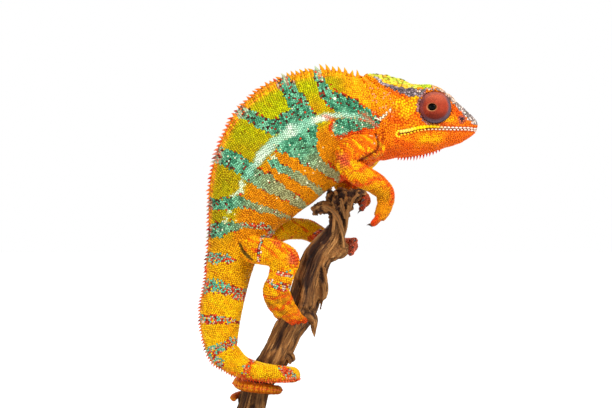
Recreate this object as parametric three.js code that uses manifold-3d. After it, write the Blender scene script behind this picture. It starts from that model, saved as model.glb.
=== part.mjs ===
// A life-size museum model of an adult male panther chameleon on a cut length of driftwood, held over a
// flat display base by one short rod. Millimetres, +Z up. The snout points along +X and the animal's right
// side faces -Y. The origin is the centre of the base's underside.
//
// The animal is modelled whole, as tubes carried along its spine and limbs, and then parted with thin cuts
// where a person would name its parts: head, jaw, neck, trunk, five lengths of tail, and three of each leg.
import * as THREE from "three";
import { mergeVertices } from "three/addons/utils/BufferGeometryUtils.js";
import Module from "manifold-3d";

const wasm = await Module();
wasm.setup();

// ---- driving dimensions -----------------------------------------------------------------------------
const GAP = 0.3; // clearance between neighbouring pieces
const BASE = { length: 136, depth: 84, height: 8, corner: 12, chamfer: 1 };
const ROD = { x: -42.3, radius: 3, top: 27, flangeRadius: 8, flangeHeight: 2 };

// The trunk and the straight of the tail, from inside the head to the tail's turn. Each row is one cross
// section: back x z, belly x z, half width, and how keeled the back is (0.5 round, 1 wedge-shaped).
// The tail starts at row VENT.
const TRUNK = [
  [19.0, 168.0, 24.0, 142.0, 8.0, 0.6],
  [8.8, 175.3, 15.5, 137.6, 10.0, 0.65],
  [-3.4, 179.1, 6.0, 132.0, 12.0, 0.75],
  [-18.7, 178.2, -4.7, 126.0, 13.5, 0.8],
  [-33.5, 172.6, -12.6, 119.7, 14.0, 0.8],
  [-46.6, 161.3, -20.0, 114.1, 13.5, 0.8],
  [-55.1, 145.8, -27.2, 108.9, 12.8, 0.8],
  [-59.4, 127.4, -33.1, 102.2, 11.8, 0.75],
  [-59.9, 107.1, -38.0, 93.6, 10.8, 0.7],
  [-61.0, 87.5, -41.2, 85.0, 9.5, 0.65],
  [-63.9, 68.9, -45.0, 69.3, 7.8, 0.6],
  [-60.8, 52.2, -46.8, 56.7, 6.0, 0.55],
];
const SHOULDER = 1.6;
const VENT = 9;

// The tail from its turn to the perch: centre x y z, the way its back faces x y z, half height, half width.
const TAIL_LEAD = [
  [-49.8, -4.6, 49.6, -0.72, -0.1, -0.69, 6.2, 5.3],
  [-45.0, -8.0, 46.4, -0.42, -0.2, -0.88, 5.2, 4.8],
  [-39.0, -11.2, 44.8, -0.1, -0.35, -0.93, 4.5, 4.4],
];
// Then it winds down round the perch. One turn is 360 degrees, and turn 0 is nearest the viewer's side.
const COIL = {
  turns: 1.86,
  stepsPerTurn: 12,
  axisX: -32.5, // of the coil at turn 0
  leanX: -4.4, // per turn
  topZ: 43.7,
  pitch: 6.9,
  perchRadius: 7.9, // at turn 0
  perchTaper: 0.75, // per turn
  tailRadius: 4.0,
  tailTaper: 0.5, // the tail's radius falls as exp(-taper * turn)
};
const TAIL_NODES = [
  ["tail_base", 0, 0.125],
  ["tail_turn", 0.125, 0.25],
  ["tail_first_loop", 0.25, 0.52],
  ["tail_second_loop", 0.52, 0.78],
  ["tail_tip", 0.78, 1],
];

// Head: eight lines run from the back of the head to the snout. Each point is x, y (half width), z.
const HEAD = {
  ridge: [[7.5, 0, 175.2], [11.2, 0, 177.5], [17.3, 0, 177.1], [22.7, 0, 176], [28.1, 0, 174.4],
    [34.9, 0, 171], [41.2, 0, 170.1], [48.8, 0, 165.4], [55.1, 0, 160.7], [59.6, 0, 156.8],
    [61.1, 0, 155.2]],
  brow: [[7.7, 0.5, 175], [11.4, 0.6, 177.4], [17.1, 2, 176.2], [22.3, 3.6, 174.2], [27.9, 5, 172.6],
    [34.9, 5.2, 172.4], [41.2, 4.8, 171.8], [48.6, 3.6, 166.7], [55.1, 2.4, 161.2], [59.7, 1.1, 157.1],
    [61.2, 0.5, 155.2]],
  crest: [[8.3, 1.3, 173.6], [11.9, 1.6, 176.2], [16.9, 4.8, 173.5], [21.8, 8, 170.8],
    [27.7, 10.2, 169.4], [34.9, 9.6, 170.3], [42.1, 8.6, 169.9], [48.6, 6.2, 166.1], [55.1, 4.2, 160.9],
    [59.9, 2, 156.6], [61.2, 0.9, 154.8]],
  cheek: [[10, 7.4, 161.5], [15.5, 9.6, 162], [20, 11.2, 161.6], [25, 11.8, 161.1], [30.8, 11, 160.7],
    [37.1, 9.6, 161.6], [43.4, 8.4, 161.6], [49.7, 7, 158.8], [56, 4.9, 156.6], [60.3, 2.4, 155],
    [61.3, 1.1, 154.3]],
  lip: [[12.6, 8.6, 151], [19.6, 11, 151.7], [24.5, 12, 151.4], [29, 11.9, 151.9], [33.5, 11.2, 152.6],
    [38.5, 10.2, 153.2], [44.3, 9, 153.5], [50.6, 7.4, 153.5], [56.5, 5.2, 153.6], [60.5, 2.5, 153.7],
    [61.3, 1.1, 153.7]],
  gape: [[13, 8.6, 149], [19.6, 11, 149.4], [25, 11.8, 149.4], [29.5, 11.6, 150.6], [33.8, 10.9, 151.7],
    [38.9, 9.9, 152.4], [44.8, 8.7, 152.5], [51.1, 7.1, 152.4], [56.7, 5, 152.4], [60.3, 2.3, 152.1],
    [61, 1, 152.3]],
  jaw: [[13.8, 7.4, 143.2], [19.1, 9.8, 144], [25, 10.2, 144.5], [29.9, 9.4, 144.9], [34.9, 8.2, 145.3],
    [40.3, 7.2, 146], [45.7, 6.2, 146.9], [51.5, 4.9, 148.3], [56.5, 3.5, 149.6], [59.4, 1.7, 150.8],
    [60.5, 0.8, 151.4]],
  chin: [[14.2, 0, 138.6], [18.7, 0, 138.2], [24.5, 0, 139.3], [30.4, 0, 139.7], [35.8, 0, 140.6],
    [41.2, 0, 142], [46.6, 0, 143.9], [52, 0, 145.4], [56.5, 0, 147.8], [59.4, 0, 149.9],
    [60.4, 0, 151.1]],
};
const NAPE = { top: [11.4, 178], bottom: [19.5, 136] }; // the cut between head and neck
// The outline x z that takes the lower jaw from the head.
const JAW_CUT = [[25.5, 149.6], [33.8, 151.8], [62.5, 152.4], [66, 130], [21.5, 132]];
const EYE = { x: 42.1, z: 162, base: 5.4, socket: 7.3, back: 0.09, up: 0.03 };
// The turret of joined lids, from its centre line out: radius, height over its base.
const TURRET = [[0, 6.2], [1.8, 6.2], [1.8, 8.6], [2.1, 9.2], [2.7, 9.2], [4.2, 8.3], [5.7, 6.6],
  [6.6, 4.6], [6.9, 2.6], [6.9, 0], [0, 0]];
const EYEBALL = [[0, 6.5], [1.5, 6.5], [1.5, 7.9], [1.1, 8.5], [0, 8.8]];

// Limbs, from inside the body outwards: x, y, z, radius. The last rows are the sole of the foot.
const LEGS = {
  front_leg_right: {
    path: [[15.5, -6, 144.5, 5.4], [11, -11.5, 144, 5.7], [6.1, -15.8, 143.4, 5.9],
      [2.2, -18.4, 140.2, 5.6], [3.4, -19, 134.8, 5.2], [8.8, -19.4, 131, 5.2], [14.6, -19, 127.8, 4.9],
      [18.7, -18, 123.8, 4.3], [19.1, -17, 119.3, 4.0]],
    elbow: 0.44,
    wrist: 0.86,
    toes: [
      {
        path: [[19.2, -18.4, 119.2, 3.5], [17.6, -17.8, 114.4, 3.1], [14.8, -16.8, 110.9, 2.1]],
        claw: [10.8, -16.2, 110.9],
      },
      {
        path: [[18.9, -15.4, 119.2, 3.3], [17, -14, 114.8, 2.8], [14.6, -13.4, 111.8, 1.9]],
        claw: [11.8, -13.2, 110.8],
      },
    ],
  },
  front_leg_left: {
    path: [[15, 6, 144, 5.4], [11.9, 12, 140.4, 5.6], [7.4, 15.6, 136.4, 5.3], [2, 17, 132.6, 4.9],
      [0.6, 15.2, 129, 4.4], [2.5, 12.6, 126.4, 4.2], [5.6, 10.6, 123.8, 4.2]],
    elbow: 0.47,
    wrist: 0.82,
    toes: [
      {
        path: [[6.4, 10, 123.4, 3.6], [9.4, 6, 121.6, 3.4], [10.1, 1, 119.8, 3.1], [9.2, -2.6, 118.4, 2.6]],
        claw: [6.6, -5.0, 117.2],
      },
      {
        path: [[4.6, 10, 122.6, 3.4], [1, 9.2, 119.8, 3.1], [-3.2, 7.2, 118.2, 2.6]],
        claw: [-6.4, 5.6, 118],
      },
    ],
  },
  hind_leg_right: {
    path: [[-43, -4, 99.9, 6.4], [-37.6, -10.5, 98.1, 6.1], [-31.3, -13.6, 97.2, 6.2],
      [-25.0, -14.6, 94.2, 6.2], [-26.3, -15, 89.6, 5.9], [-27.7, -14.8, 84.8, 5.6],
      [-29.2, -13.6, 80.1, 6.1], [-27.2, -12.4, 74.7, 6.2], [-24.4, -12.2, 71, 5.3]],
    elbow: 0.4,
    wrist: 0.72,
    toes: [
      {
        path: [[-24.8, -13, 71.5, 5.0], [-21.6, -12.3, 67.6, 4.2], [-18.9, -11.2, 64.9, 2.9]],
        claw: [-16.6, -10.2, 62.9],
      },
      {
        path: [[-27.4, -10, 73, 4.0], [-27.8, -4.5, 71.2, 3.1], [-28, 1.5, 69.4, 2.8], [-25.4, 7, 67, 2.5]],
        claw: [-22, 9.6, 65.2],
      },
    ],
  },
  hind_leg_left: {
    path: [[-41.2, 4, 100.8, 6.2], [-34, 10, 104, 6.0], [-26.8, 13, 107, 5.2], [-20, 14, 107.6, 5.0],
      [-14.6, 14, 106.6, 4.9], [-9.2, 13.2, 103.6, 4.5], [-4.3, 12, 100.8, 4.3]],
    elbow: 0.5,
    wrist: 0.78,
    toes: [
      {
        path: [[-4, 11.6, 100.4, 4.0], [1.2, 9.6, 99.8, 3.9], [4.6, 5, 99.8, 3.6], [5.1, 0, 99.4, 3.2]],
        claw: [3.8, -4.2, 98.6],
      },
      {
        path: [[-6, 11, 101, 3.6], [-9.6, 8.2, 103.4, 2.9], [-10.8, 3.4, 106.2, 2.4]],
        claw: [-10.3, 0.2, 107.8],
      },
    ],
  },
};
const CLAW_RADIUS = 0.9;

// The perch: x, y, z, radius from its cut foot to its broken top, then the stubs that grow from it.
const PERCH = [
  [-44.0, 0, 17.1, 6.9], [-40.6, 0, 27.0, 6.8], [-38.2, 0, 35.9, 6.5], [-34.6, 0, 42.6, 6.7],
  [-30.4, 0, 49.8, 7.0], [-26.6, 0, 56.9, 6.6], [-23.4, 0, 62.5, 6.4], [-20.0, 0, 68.1, 6.8],
  [-17.2, 0, 75.0, 7.4], [-15.1, 0, 83.1, 7.0], [-12.6, 0, 90.0, 7.0], [-9.7, 0, 95.9, 6.8],
  [-4.6, 0, 102.6, 6.0], [-1.9, 0, 108.2, 4.8], [-0.9, 0, 113.6, 4.6], [-0.4, 0, 118.8, 6.2],
  [1.4, 0.5, 122.6, 5.4], [2.0, 0.5, 125.2, 3.6],
];
const STUBS = {
  left_knob: [[-1, 0, 116, 3.6], [-6.5, -1.2, 117.0, 3.2], [-10.8, -1.6, 116.4, 3.0],
    [-12.0, -1.6, 113.8, 1.8]],
  top_left_prong: [[-1.5, 0, 118, 3.0], [-5.2, -0.5, 122.0, 2.4], [-5.6, -0.4, 126.0, 1.6]],
  top_right_prong: [[1.5, -0.5, 119.5, 4.2], [6.0, -0.8, 123.0, 3.0], [10.4, -0.5, 124.2, 2.0]],
  broken_limb: [[-8, 0, 96, 5.0], [-3.0, -0.5, 97.5, 4.8], [0.6, -1, 98.2, 3.8], [2.8, -1.2, 98.2, 2.6]],
  peeled_strand: [[-6, -3.4, 117, 1.4], [-1.8, -4.8, 112.6, 1.3], [0, -4.8, 106, 1.2],
    [0.8, -4.2, 99, 1.2]],
  right_sliver: [[-9.0, -3.4, 90, 2.4], [-8.2, -3.8, 80, 2.0], [-9.6, -3.8, 71.2, 0.7]],
  hanging_splinter: [[-16, -2.5, 71, 3.8], [-12.6, -3.2, 66.8, 2.5], [-12.4, -3.6, 62.5, 1.4],
    [-12.0, -3.8, 58.6, 0.5]],
  left_flake: [[-27.5, -1.0, 65.5, 1.8], [-30.4, -1.5, 61.5, 1.4], [-33.2, -1.5, 57.2, 0.6]],
  lower_step: [[-27.5, -2, 54, 3.4], [-23.2, -3, 50.8, 2.4], [-22.2, -3, 47.4, 1.5]],
};
const PERCH_FLUTES = { count: 5, depth: 0.055, turns: 1.3 };

// From nape to vent.
const DORSAL_CREST = { spacing: [2.9, 2.0], height: [3.0, 0.9], radius: [1.15, 0.7] };
const TAIL_CREST = { spacing: [2.0, 1.6], height: [0.9, 0.6], radius: [0.7, 0.55] };
const GULAR_CREST = { from: 25.5, to: 45, count: 13, height: 1.4, radius: 0.65 };

// ---- geometry helpers ----------------------------------------------------------------------------------
const v3 = (x, y, z) => new THREE.Vector3(x, y, z);
const mix = THREE.MathUtils.lerp;

/** A smooth function of u from 0 to 1 through rows: the uniform Catmull-Rom spline of each column. */
function spline(rows) {
  const last = rows.length - 1;
  return (u) => {
    const s = THREE.MathUtils.clamp(u, 0, 1) * last;
    const i = Math.min(Math.floor(s), last - 1);
    const t = s - i;
    const [a, b, c, d] = [i - 1, i, i + 1, i + 2].map((k) => rows[THREE.MathUtils.clamp(k, 0, last)]);
    return b.map((p1, k) => {
      const [p0, p2, p3] = [a[k], c[k], d[k]];
      return 0.5 * (2 * p1 + (p2 - p0) * t + (2 * p0 - 5 * p1 + 4 * p2 - p3) * t * t
        + (3 * p1 - p0 - 3 * p2 + p3) * t * t * t);
    });
  };
}

/** A geometry as a manifold solid, turned right side out. */
function solid(geometry) {
  const bare = geometry.clone();
  bare.deleteAttribute("normal");
  bare.deleteAttribute("uv");
  const merged = mergeVertices(bare, 1e-4);
  const p = merged.getAttribute("position");
  const index = merged.index.array;
  let volume = 0;
  for (let i = 0; i < index.length; i += 3) {
    const [a, b, c] = [0, 1, 2].map((k) => new THREE.Vector3().fromBufferAttribute(p, index[i + k]));
    volume += a.dot(b.cross(c));
  }
  const triVerts = new Uint32Array(index);
  if (volume < 0) triVerts.reverse();
  return new wasm.Manifold(new wasm.Mesh({ numProp: 3, vertProperties: p.array, triVerts }));
}

/** A manifold solid as a geometry to draw. */
function geometryOf(body) {
  const mesh = body.getMesh();
  const geometry = new THREE.BufferGeometry();
  geometry.setAttribute("position", new THREE.BufferAttribute(mesh.vertProperties, 3));
  geometry.setIndex(new THREE.BufferAttribute(mesh.triVerts, 1));
  geometry.computeVertexNormals();
  return geometry;
}

/**
 * A closed tube: a cylinder whose vertices are carried onto the rings that ring(u) gives, for u between
 * from and to. A ring is a function of the angle round it; both ends are closed by a flat fan.
 */
function tube(ring, sides, steps, from = 0, to = 1) {
  const geometry = new THREE.CylinderGeometry(1, 1, 1, sides, steps);
  const p = geometry.getAttribute("position");
  const angleOf = (k) => (2 * Math.PI * k) / sides;
  const middles = new Map();
  for (let i = 0; i < p.count; i++) {
    const u = mix(from, to, 0.5 - p.getY(i));
    const at = ring(u);
    let point;
    if (Math.hypot(p.getX(i), p.getZ(i)) < 0.5) {
      if (!middles.has(u)) {
        const sum = v3(0, 0, 0);
        for (let k = 0; k < sides; k++) sum.add(at(angleOf(k)));
        middles.set(u, sum.divideScalar(sides));
      }
      point = middles.get(u);
    } else {
      const turn = Math.atan2(p.getX(i), p.getZ(i)) / (2 * Math.PI);
      point = at(angleOf((Math.round(turn * sides) + sides) % sides));
    }
    p.setXYZ(i, point.x, point.y, point.z);
  }
  return solid(geometry);
}

/** A round tube along x y z radius rows, with a shape factor for its radius at each height and angle. */
function limb(rows, sides, steps, { from = 0, to = 1, grow = 0, relief = () => 1 } = {}) {
  const at = spline(rows);
  const path = new THREE.CatmullRomCurve3(
    Array.from({ length: 40 }, (_, k) => v3(...at(k / 39))), false, "catmullrom");
  const frames = path.computeFrenetFrames(60);
  const ring = (u) => {
    const [x, y, z, radius] = at(u);
    const k = Math.round(THREE.MathUtils.clamp(u, 0, 1) * 60);
    const tangent = v3(...at(Math.min(u + 0.06, 1))).sub(v3(...at(Math.max(u - 0.06, 0)))).normalize();
    const side = frames.normals[k].clone();
    side.addScaledVector(tangent, -side.dot(tangent)).normalize();
    const over = tangent.clone().cross(side);
    return (angle) => {
      const r = radius * relief(u, angle) + grow;
      const point = v3(x, y, z).addScaledVector(side, r * Math.cos(angle));
      return point.addScaledVector(over, r * Math.sin(angle));
    };
  };
  return tube(ring, sides, steps, from, to);
}

/** A three-sided spine on point, leaning along way. */
function spine(point, way, radius, height, sides = 3) {
  const sunk = radius * 1.6;
  const cone = new THREE.ConeGeometry(radius, height + sunk, sides);
  cone.translate(0, (height + sunk) / 2 - sunk, 0);
  cone.applyQuaternion(new THREE.Quaternion().setFromUnitVectors(v3(0, 1, 0), way.clone().normalize()));
  cone.translate(point.x, point.y, point.z);
  return solid(cone);
}

/** An upright wall of the x z outline, from one side of the animal to the other. */
function wall(outline) {
  const shape = new THREE.Shape(outline.map(([x, z]) => new THREE.Vector2(x, z)));
  const geometry = new THREE.ExtrudeGeometry(shape, { depth: 80, bevelEnabled: false });
  geometry.rotateX(Math.PI / 2);
  geometry.translate(0, 40, 0);
  return solid(geometry);
}

const union = (bodies) => bodies.reduce((whole, body) => whole.add(body));
const largest = (body) => body.decompose().sort((a, b) => b.volume() - a.volume())[0];

const model = new THREE.Group();
function add(name, body, { color, roughness, metalness = 0 }) {
  const material = new THREE.MeshStandardMaterial({ color, roughness, metalness });
  const mesh = new THREE.Mesh(geometryOf(body), material);
  mesh.name = name;
  model.add(mesh);
}

const SKIN = { color: 0xe8920c, roughness: 0.55 };
const BANDED_SKIN = { color: 0x62a582, roughness: 0.55 };
const LID = { color: 0xa8412c, roughness: 0.5 };
const EYE_BLACK = { color: 0x0a0708, roughness: 0.08 };
const DRIFTWOOD = { color: 0x5d3f25, roughness: 0.85 };
const BASE_PAINT = { color: 0x1d1d1f, roughness: 0.45 };
const STEEL = { color: 0xb9bbbe, roughness: 0.3, metalness: 1 };

// ---- trunk and tail ------------------------------------------------------------------------------------
const TRUNK_SIDES = 18;
const trunkRows = spline(TRUNK);
const alongTrunk = (row) => row / (TRUNK.length - 1);

/** Trunk sections stand on the line from back to belly. Their half width peaks low on the flank. */
function trunkRing(grow = 0) {
  return (u) => {
    const [backX, backZ, bellyX, bellyZ, halfWidth, keel] = trunkRows(u);
    const back = v3(backX, 0, backZ);
    const belly = v3(bellyX, 0, bellyZ);
    const down = belly.clone().sub(back).normalize();
    back.addScaledVector(down, -grow);
    belly.addScaledVector(down, grow);
    const widest = keel / (keel + 0.52);
    return (angle) => {
      const t = (1 - Math.cos(angle)) / 2;
      const share = t > 1e-9 && t < 1 - 1e-9 ? (t / widest) ** keel * ((1 - t) / (1 - widest)) ** 0.52 : 0;
      return back.clone().lerp(belly, t).setY(Math.sign(Math.sin(angle)) * (halfWidth + grow) * share);
    };
  };
}

/** The tail's rows: down from the vent, over the turn to the perch, then the coil round it turn by turn. */
function tailRows() {
  const straight = TRUNK.slice(VENT - 1).map(([backX, backZ, bellyX, bellyZ, halfWidth]) => {
    const up = v3(backX - bellyX, 0, backZ - bellyZ);
    const height = up.length();
    const middle = [(backX + bellyX) / 2, 0, (backZ + bellyZ) / 2];
    return [...middle, ...up.normalize().toArray(), height / 2, halfWidth];
  });
  straight.at(-1)[1] = TAIL_LEAD[0][1] / 3;
  const { axisX, leanX, topZ, pitch, perchRadius, perchTaper, tailRadius, tailTaper } = COIL;
  const coil = [];
  for (let k = 0; k <= COIL.turns * COIL.stepsPerTurn; k++) {
    const turn = k / COIL.stepsPerTurn;
    const angle = turn * 2 * Math.PI;
    const radius = tailRadius * Math.exp(-tailTaper * turn);
    const reach = perchRadius - perchTaper * turn + radius + 0.15;
    const outward = v3(Math.sin(angle), -Math.cos(angle), 0);
    const facing = outward.clone().lerp(v3(0, 0, -1), 0.7 * Math.exp(-3 * turn)).normalize();
    coil.push([axisX + leanX * turn + reach * outward.x, reach * outward.y, topZ - pitch * turn,
      ...facing.toArray(), radius * 1.04, radius]);
  }
  const tip = [...coil.at(-1)];
  tip[6] = tip[7] = 0.7;
  return [...straight, ...TAIL_LEAD, ...coil.slice(0, -1), tip];
}

const tailTable = tailRows();
function tailRing() {
  const at = spline(tailTable);
  return (u) => {
    const [x, y, z, ux, uy, uz, halfHeight, halfWidth] = at(u);
    const step = 0.004;
    const tangent = v3(...at(Math.min(u + step, 1))).sub(v3(...at(Math.max(u - step, 0)))).normalize();
    const up = v3(ux, uy, uz);
    up.addScaledVector(tangent, -up.dot(tangent)).normalize();
    const side = tangent.clone().cross(up);
    return (angle) => v3(x, y, z).addScaledVector(up, halfHeight * Math.cos(angle))
      .addScaledVector(side, halfWidth * Math.sin(angle));
  };
}

/** A row of spines along the back of a tube between two shares of its length. */
function crestOn(ring, from, to, { spacing, height, radius }) {
  const spines = [];
  let u = from;
  while (u < to) {
    const share = Math.min(1, (1.8 * (u - from)) / (to - from));
    const top = ring(u)(0);
    const tailward = ring(u + 0.001)(0).sub(top);
    const out = top.clone().sub(ring(u)(Math.PI)).normalize();
    const way = out.addScaledVector(tailward.clone().normalize(), 0.25);
    spines.push(spine(top, way, mix(...radius, share), mix(...height, share)));
    u += (0.001 * mix(...spacing, share)) / tailward.length();
  }
  return spines;
}

/** What of a body lies headward (side 1) or tailward (side -1) of a trunk row, half a gap away. */
function splitAtRow(body, row, side) {
  const [backX, backZ, bellyX, bellyZ] = trunkRows(alongTrunk(row));
  const normal = v3(backZ - bellyZ, 0, bellyX - backX).normalize().multiplyScalar(side);
  return body.trimByPlane(normal.toArray(), normal.dot(v3(backX, 0, backZ)) + GAP / 2);
}

const backSpines = crestOn(trunkRing(), alongTrunk(0.85), alongTrunk(VENT - 0.1), DORSAL_CREST);
const flesh = tube(trunkRing(), TRUNK_SIDES, 16, 0, alongTrunk(VENT + 0.5)).add(union(backSpines));
const grownFlesh = tube(trunkRing(1.4 * GAP), TRUNK_SIDES, 16, 0, alongTrunk(VENT + 0.5));
const neck = splitAtRow(flesh, SHOULDER, 1);
const trunk = splitAtRow(splitAtRow(flesh, SHOULDER, -1), VENT, 1);

// ---- head ------------------------------------------------------------------------------------------------
const headLines = Object.values(HEAD).map(spline);

/** One section of the head: a closed curve through the eight lines and their mirror images. */
function headRing(grow = 0) {
  return (u) => {
    const right = headLines.map((line) => v3(...line(u)));
    const left = right.slice(1, -1).reverse().map((point) => v3(point.x, -point.y, point.z));
    const curve = new THREE.CatmullRomCurve3([...right, ...left], true, "catmullrom");
    const middle = right[0].clone().lerp(right[7], 0.5);
    return (angle) => {
      const point = curve.getPoint((angle / (2 * Math.PI)) % 1);
      return point.addScaledVector(point.clone().sub(middle).normalize(), grow);
    };
  };
}

/** The half of space on the head's side of the nape, or with side -1 the neck's, half a gap away. */
function napeSide(body, side) {
  const along = v3(NAPE.bottom[0] - NAPE.top[0], 0, NAPE.bottom[1] - NAPE.top[1]).normalize();
  const normal = v3(-along.z, 0, along.x).multiplyScalar(side);
  const offset = normal.dot(v3(NAPE.top[0], 0, NAPE.top[1]));
  return body.trimByPlane(normal.toArray(), offset + GAP / 2);
}

function turretFrame(side) {
  const axis = v3(-EYE.back, side, EYE.up).normalize();
  const turn = new THREE.Quaternion().setFromUnitVectors(v3(0, 1, 0), axis);
  return new THREE.Matrix4().compose(v3(EYE.x, side * EYE.base, EYE.z), turn, v3(1, 1, 1));
}

function turned(profile, side, segments) {
  const geometry = new THREE.LatheGeometry(profile.map(([r, h]) => new THREE.Vector2(r, h)), segments);
  return solid(geometry.applyMatrix4(turretFrame(side)));
}

function eyeSocket(side) {
  return turned([[0, -GAP], [EYE.socket, -GAP], [EYE.socket, 14], [0, 14]], side, 14);
}

/** The short cones under the chin. */
function gularCrest() {
  const { from, to, count, height, radius } = GULAR_CREST;
  const chin = spline(HEAD.chin);
  return Array.from({ length: count }, (_, k) => {
    const x = mix(from, to, k / (count - 1));
    let u = 0;
    while (chin(u)[0] < x) u += 0.002;
    return spine(v3(x, 0, chin(u)[2] + 0.3), v3(-0.15, 0, -1), radius, height + 0.3);
  });
}

const headAndNeck = tube(headRing(), 24, 13).add(neck);
const sockets = union([eyeSocket(1), eyeSocket(-1)]);
const wholeHead = napeSide(headAndNeck, 1).subtract(sockets);
const jawSpace = wall(JAW_CUT);
const grownJawSpace = wall([
  [25.5 - GAP * 1.6, 149.6 + GAP], [33.8, 151.8 + GAP], [62.5, 152.4 + GAP], [66, 130],
  [21.5 - GAP * 1.3, 132],
]);
const grownHead = tube(headRing(1.3 * GAP), 24, 13);

// ---- legs ------------------------------------------------------------------------------------------------
function claw(toe) {
  const [x, y, z, radius] = toe.path.at(-1);
  const root = v3(x, y, z);
  const way = v3(...toe.claw).sub(root);
  return spine(root, way, Math.min(CLAW_RADIUS, radius * 0.6), way.length(), 4);
}

/** What is left of a limb beyond (side 1) or short of (side -1) the cut across it at u, half a gap away. */
function beyond(body, path, u, side) {
  const at = spline(path);
  const point = v3(...at(u));
  const normal = v3(...at(Math.min(u + 0.05, 1))).sub(v3(...at(u - 0.05))).normalize().multiplyScalar(side);
  return body.trimByPlane(normal.toArray(), normal.dot(point) + GAP / 2);
}

function addLeg(name, { path, elbow, wrist, toes }, perchSpace) {
  const whole = limb(path, 9, 9);
  const clear = (body) => largest(body.subtract(grownFlesh).subtract(grownHead).subtract(perchSpace));
  const upper = beyond(whole, path, elbow, -1);
  const lower = beyond(beyond(whole, path, elbow, 1), path, wrist, -1);
  const sole = beyond(whole, path, wrist, 1);
  const digits = toes.flatMap((toe) => [limb(toe.path, 7, 4), claw(toe)]);
  const shinSpace = beyond(limb(path, 9, 9, { grow: GAP }), path, wrist, -1);
  const foot = union([sole, ...digits]).subtract(shinSpace);
  const [upperName, lowerName, footName] = name.startsWith("front")
    ? ["upper_arm", "forearm", "hand"] : ["thigh", "shin", "foot"];
  const side = name.endsWith("right") ? "right" : "left";
  add(`${upperName}_${side}`, clear(upper), SKIN);
  add(`${lowerName}_${side}`, clear(lower), SKIN);
  add(`${footName}_${side}`, clear(foot), SKIN);
}

// ---- perch -----------------------------------------------------------------------------------------------
/** Driftwood: fluted lengthwise, with the flutes slowly turning as they climb. */
function flutes(u, angle) {
  const { count, depth, turns } = PERCH_FLUTES;
  return 1 + depth * Math.cos(count * angle + turns * 2 * Math.PI * u) + 0.03 * Math.sin(3 * angle - 9 * u);
}

function perchBody(grow = 0) {
  const stubs = Object.values(STUBS).map((rows) => limb(rows, 5, 3, { grow }));
  return union([limb(PERCH, 12, 19, { grow, relief: flutes }), ...stubs]);
}

function rod(grow) {
  const { radius, top, flangeRadius, flangeHeight } = ROD;
  const z = BASE.height;
  const profile = [
    [0, z], [flangeRadius, z], [flangeRadius, z + flangeHeight], [radius + grow, z + flangeHeight],
    [radius + grow, top + grow], [0, top + grow],
  ];
  const geometry = new THREE.LatheGeometry(profile.map(([r, h]) => new THREE.Vector2(r, h)), 16);
  geometry.rotateX(Math.PI / 2);
  geometry.translate(ROD.x, 0, 0);
  return solid(geometry);
}

function base() {
  const { length, depth, height, corner, chamfer } = BASE;
  const [x, y] = [length / 2 - chamfer, depth / 2 - chamfer];
  const shape = new THREE.Shape();
  shape.moveTo(-x + corner, -y)
    .lineTo(x - corner, -y).absarc(x - corner, -y + corner, corner, -Math.PI / 2, 0)
    .lineTo(x, y - corner).absarc(x - corner, y - corner, corner, 0, Math.PI / 2)
    .lineTo(-x + corner, y).absarc(-x + corner, y - corner, corner, Math.PI / 2, Math.PI)
    .lineTo(-x, -y + corner).absarc(-x + corner, -y + corner, corner, Math.PI, 1.5 * Math.PI);
  const geometry = new THREE.ExtrudeGeometry(shape, {
    depth: height - 2 * chamfer, bevelEnabled: true, bevelThickness: chamfer, bevelSize: chamfer,
    bevelSegments: 1, curveSegments: 3,
  });
  geometry.translate(0, 0, chamfer);
  return solid(geometry);
}

// ---- assembly --------------------------------------------------------------------------------------------
const grownPerch = perchBody(GAP);

add("head", wholeHead.subtract(grownJawSpace), SKIN);
add("lower_jaw", union([wholeHead.intersect(jawSpace), ...gularCrest()]), SKIN);
add("neck", largest(napeSide(headAndNeck, -1)), SKIN);
for (const [name, side] of [["right", -1], ["left", 1]]) {
  add(`eye_turret_${name}`, turned(TURRET, side, 14), LID);
  add(`eyeball_${name}`, turned(EYEBALL, side, 8), EYE_BLACK);
}

for (const [name, leg] of Object.entries(LEGS)) addLeg(name, leg, grownPerch);
add("trunk", trunk, BANDED_SKIN);
for (const [name, from, to] of TAIL_NODES) {
  const half = 0.0016;
  const steps = Math.max(4, Math.round((to - from) * 34));
  let length = tube(tailRing(), 8, steps, from + half, to === 1 ? 1 : to - half);
  if (from === 0) {
    length = length.add(union(crestOn(tailRing(), 0.045, to - 0.005, TAIL_CREST)));
    length = largest(splitAtRow(length, VENT, -1));
  }
  add(name, length.subtract(grownPerch), SKIN);
}

add("perch_branch", perchBody().subtract(rod(GAP)).subtract(grownFlesh), DRIFTWOOD);
add("stand_rod", rod(0), STEEL);
add("stand_base", base(), BASE_PAINT);

export default model;
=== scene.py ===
# A life-size museum model of a panther chameleon: one painted skin with its coat of scales, on a driftwood
# perch and a plain display stand. Sizes here are in millimetres and become metres as each mesh is made.
import math
import bpy
import numpy as np
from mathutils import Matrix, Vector
from mathutils.bvhtree import BVHTree
from mathutils.kdtree import KDTree


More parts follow.
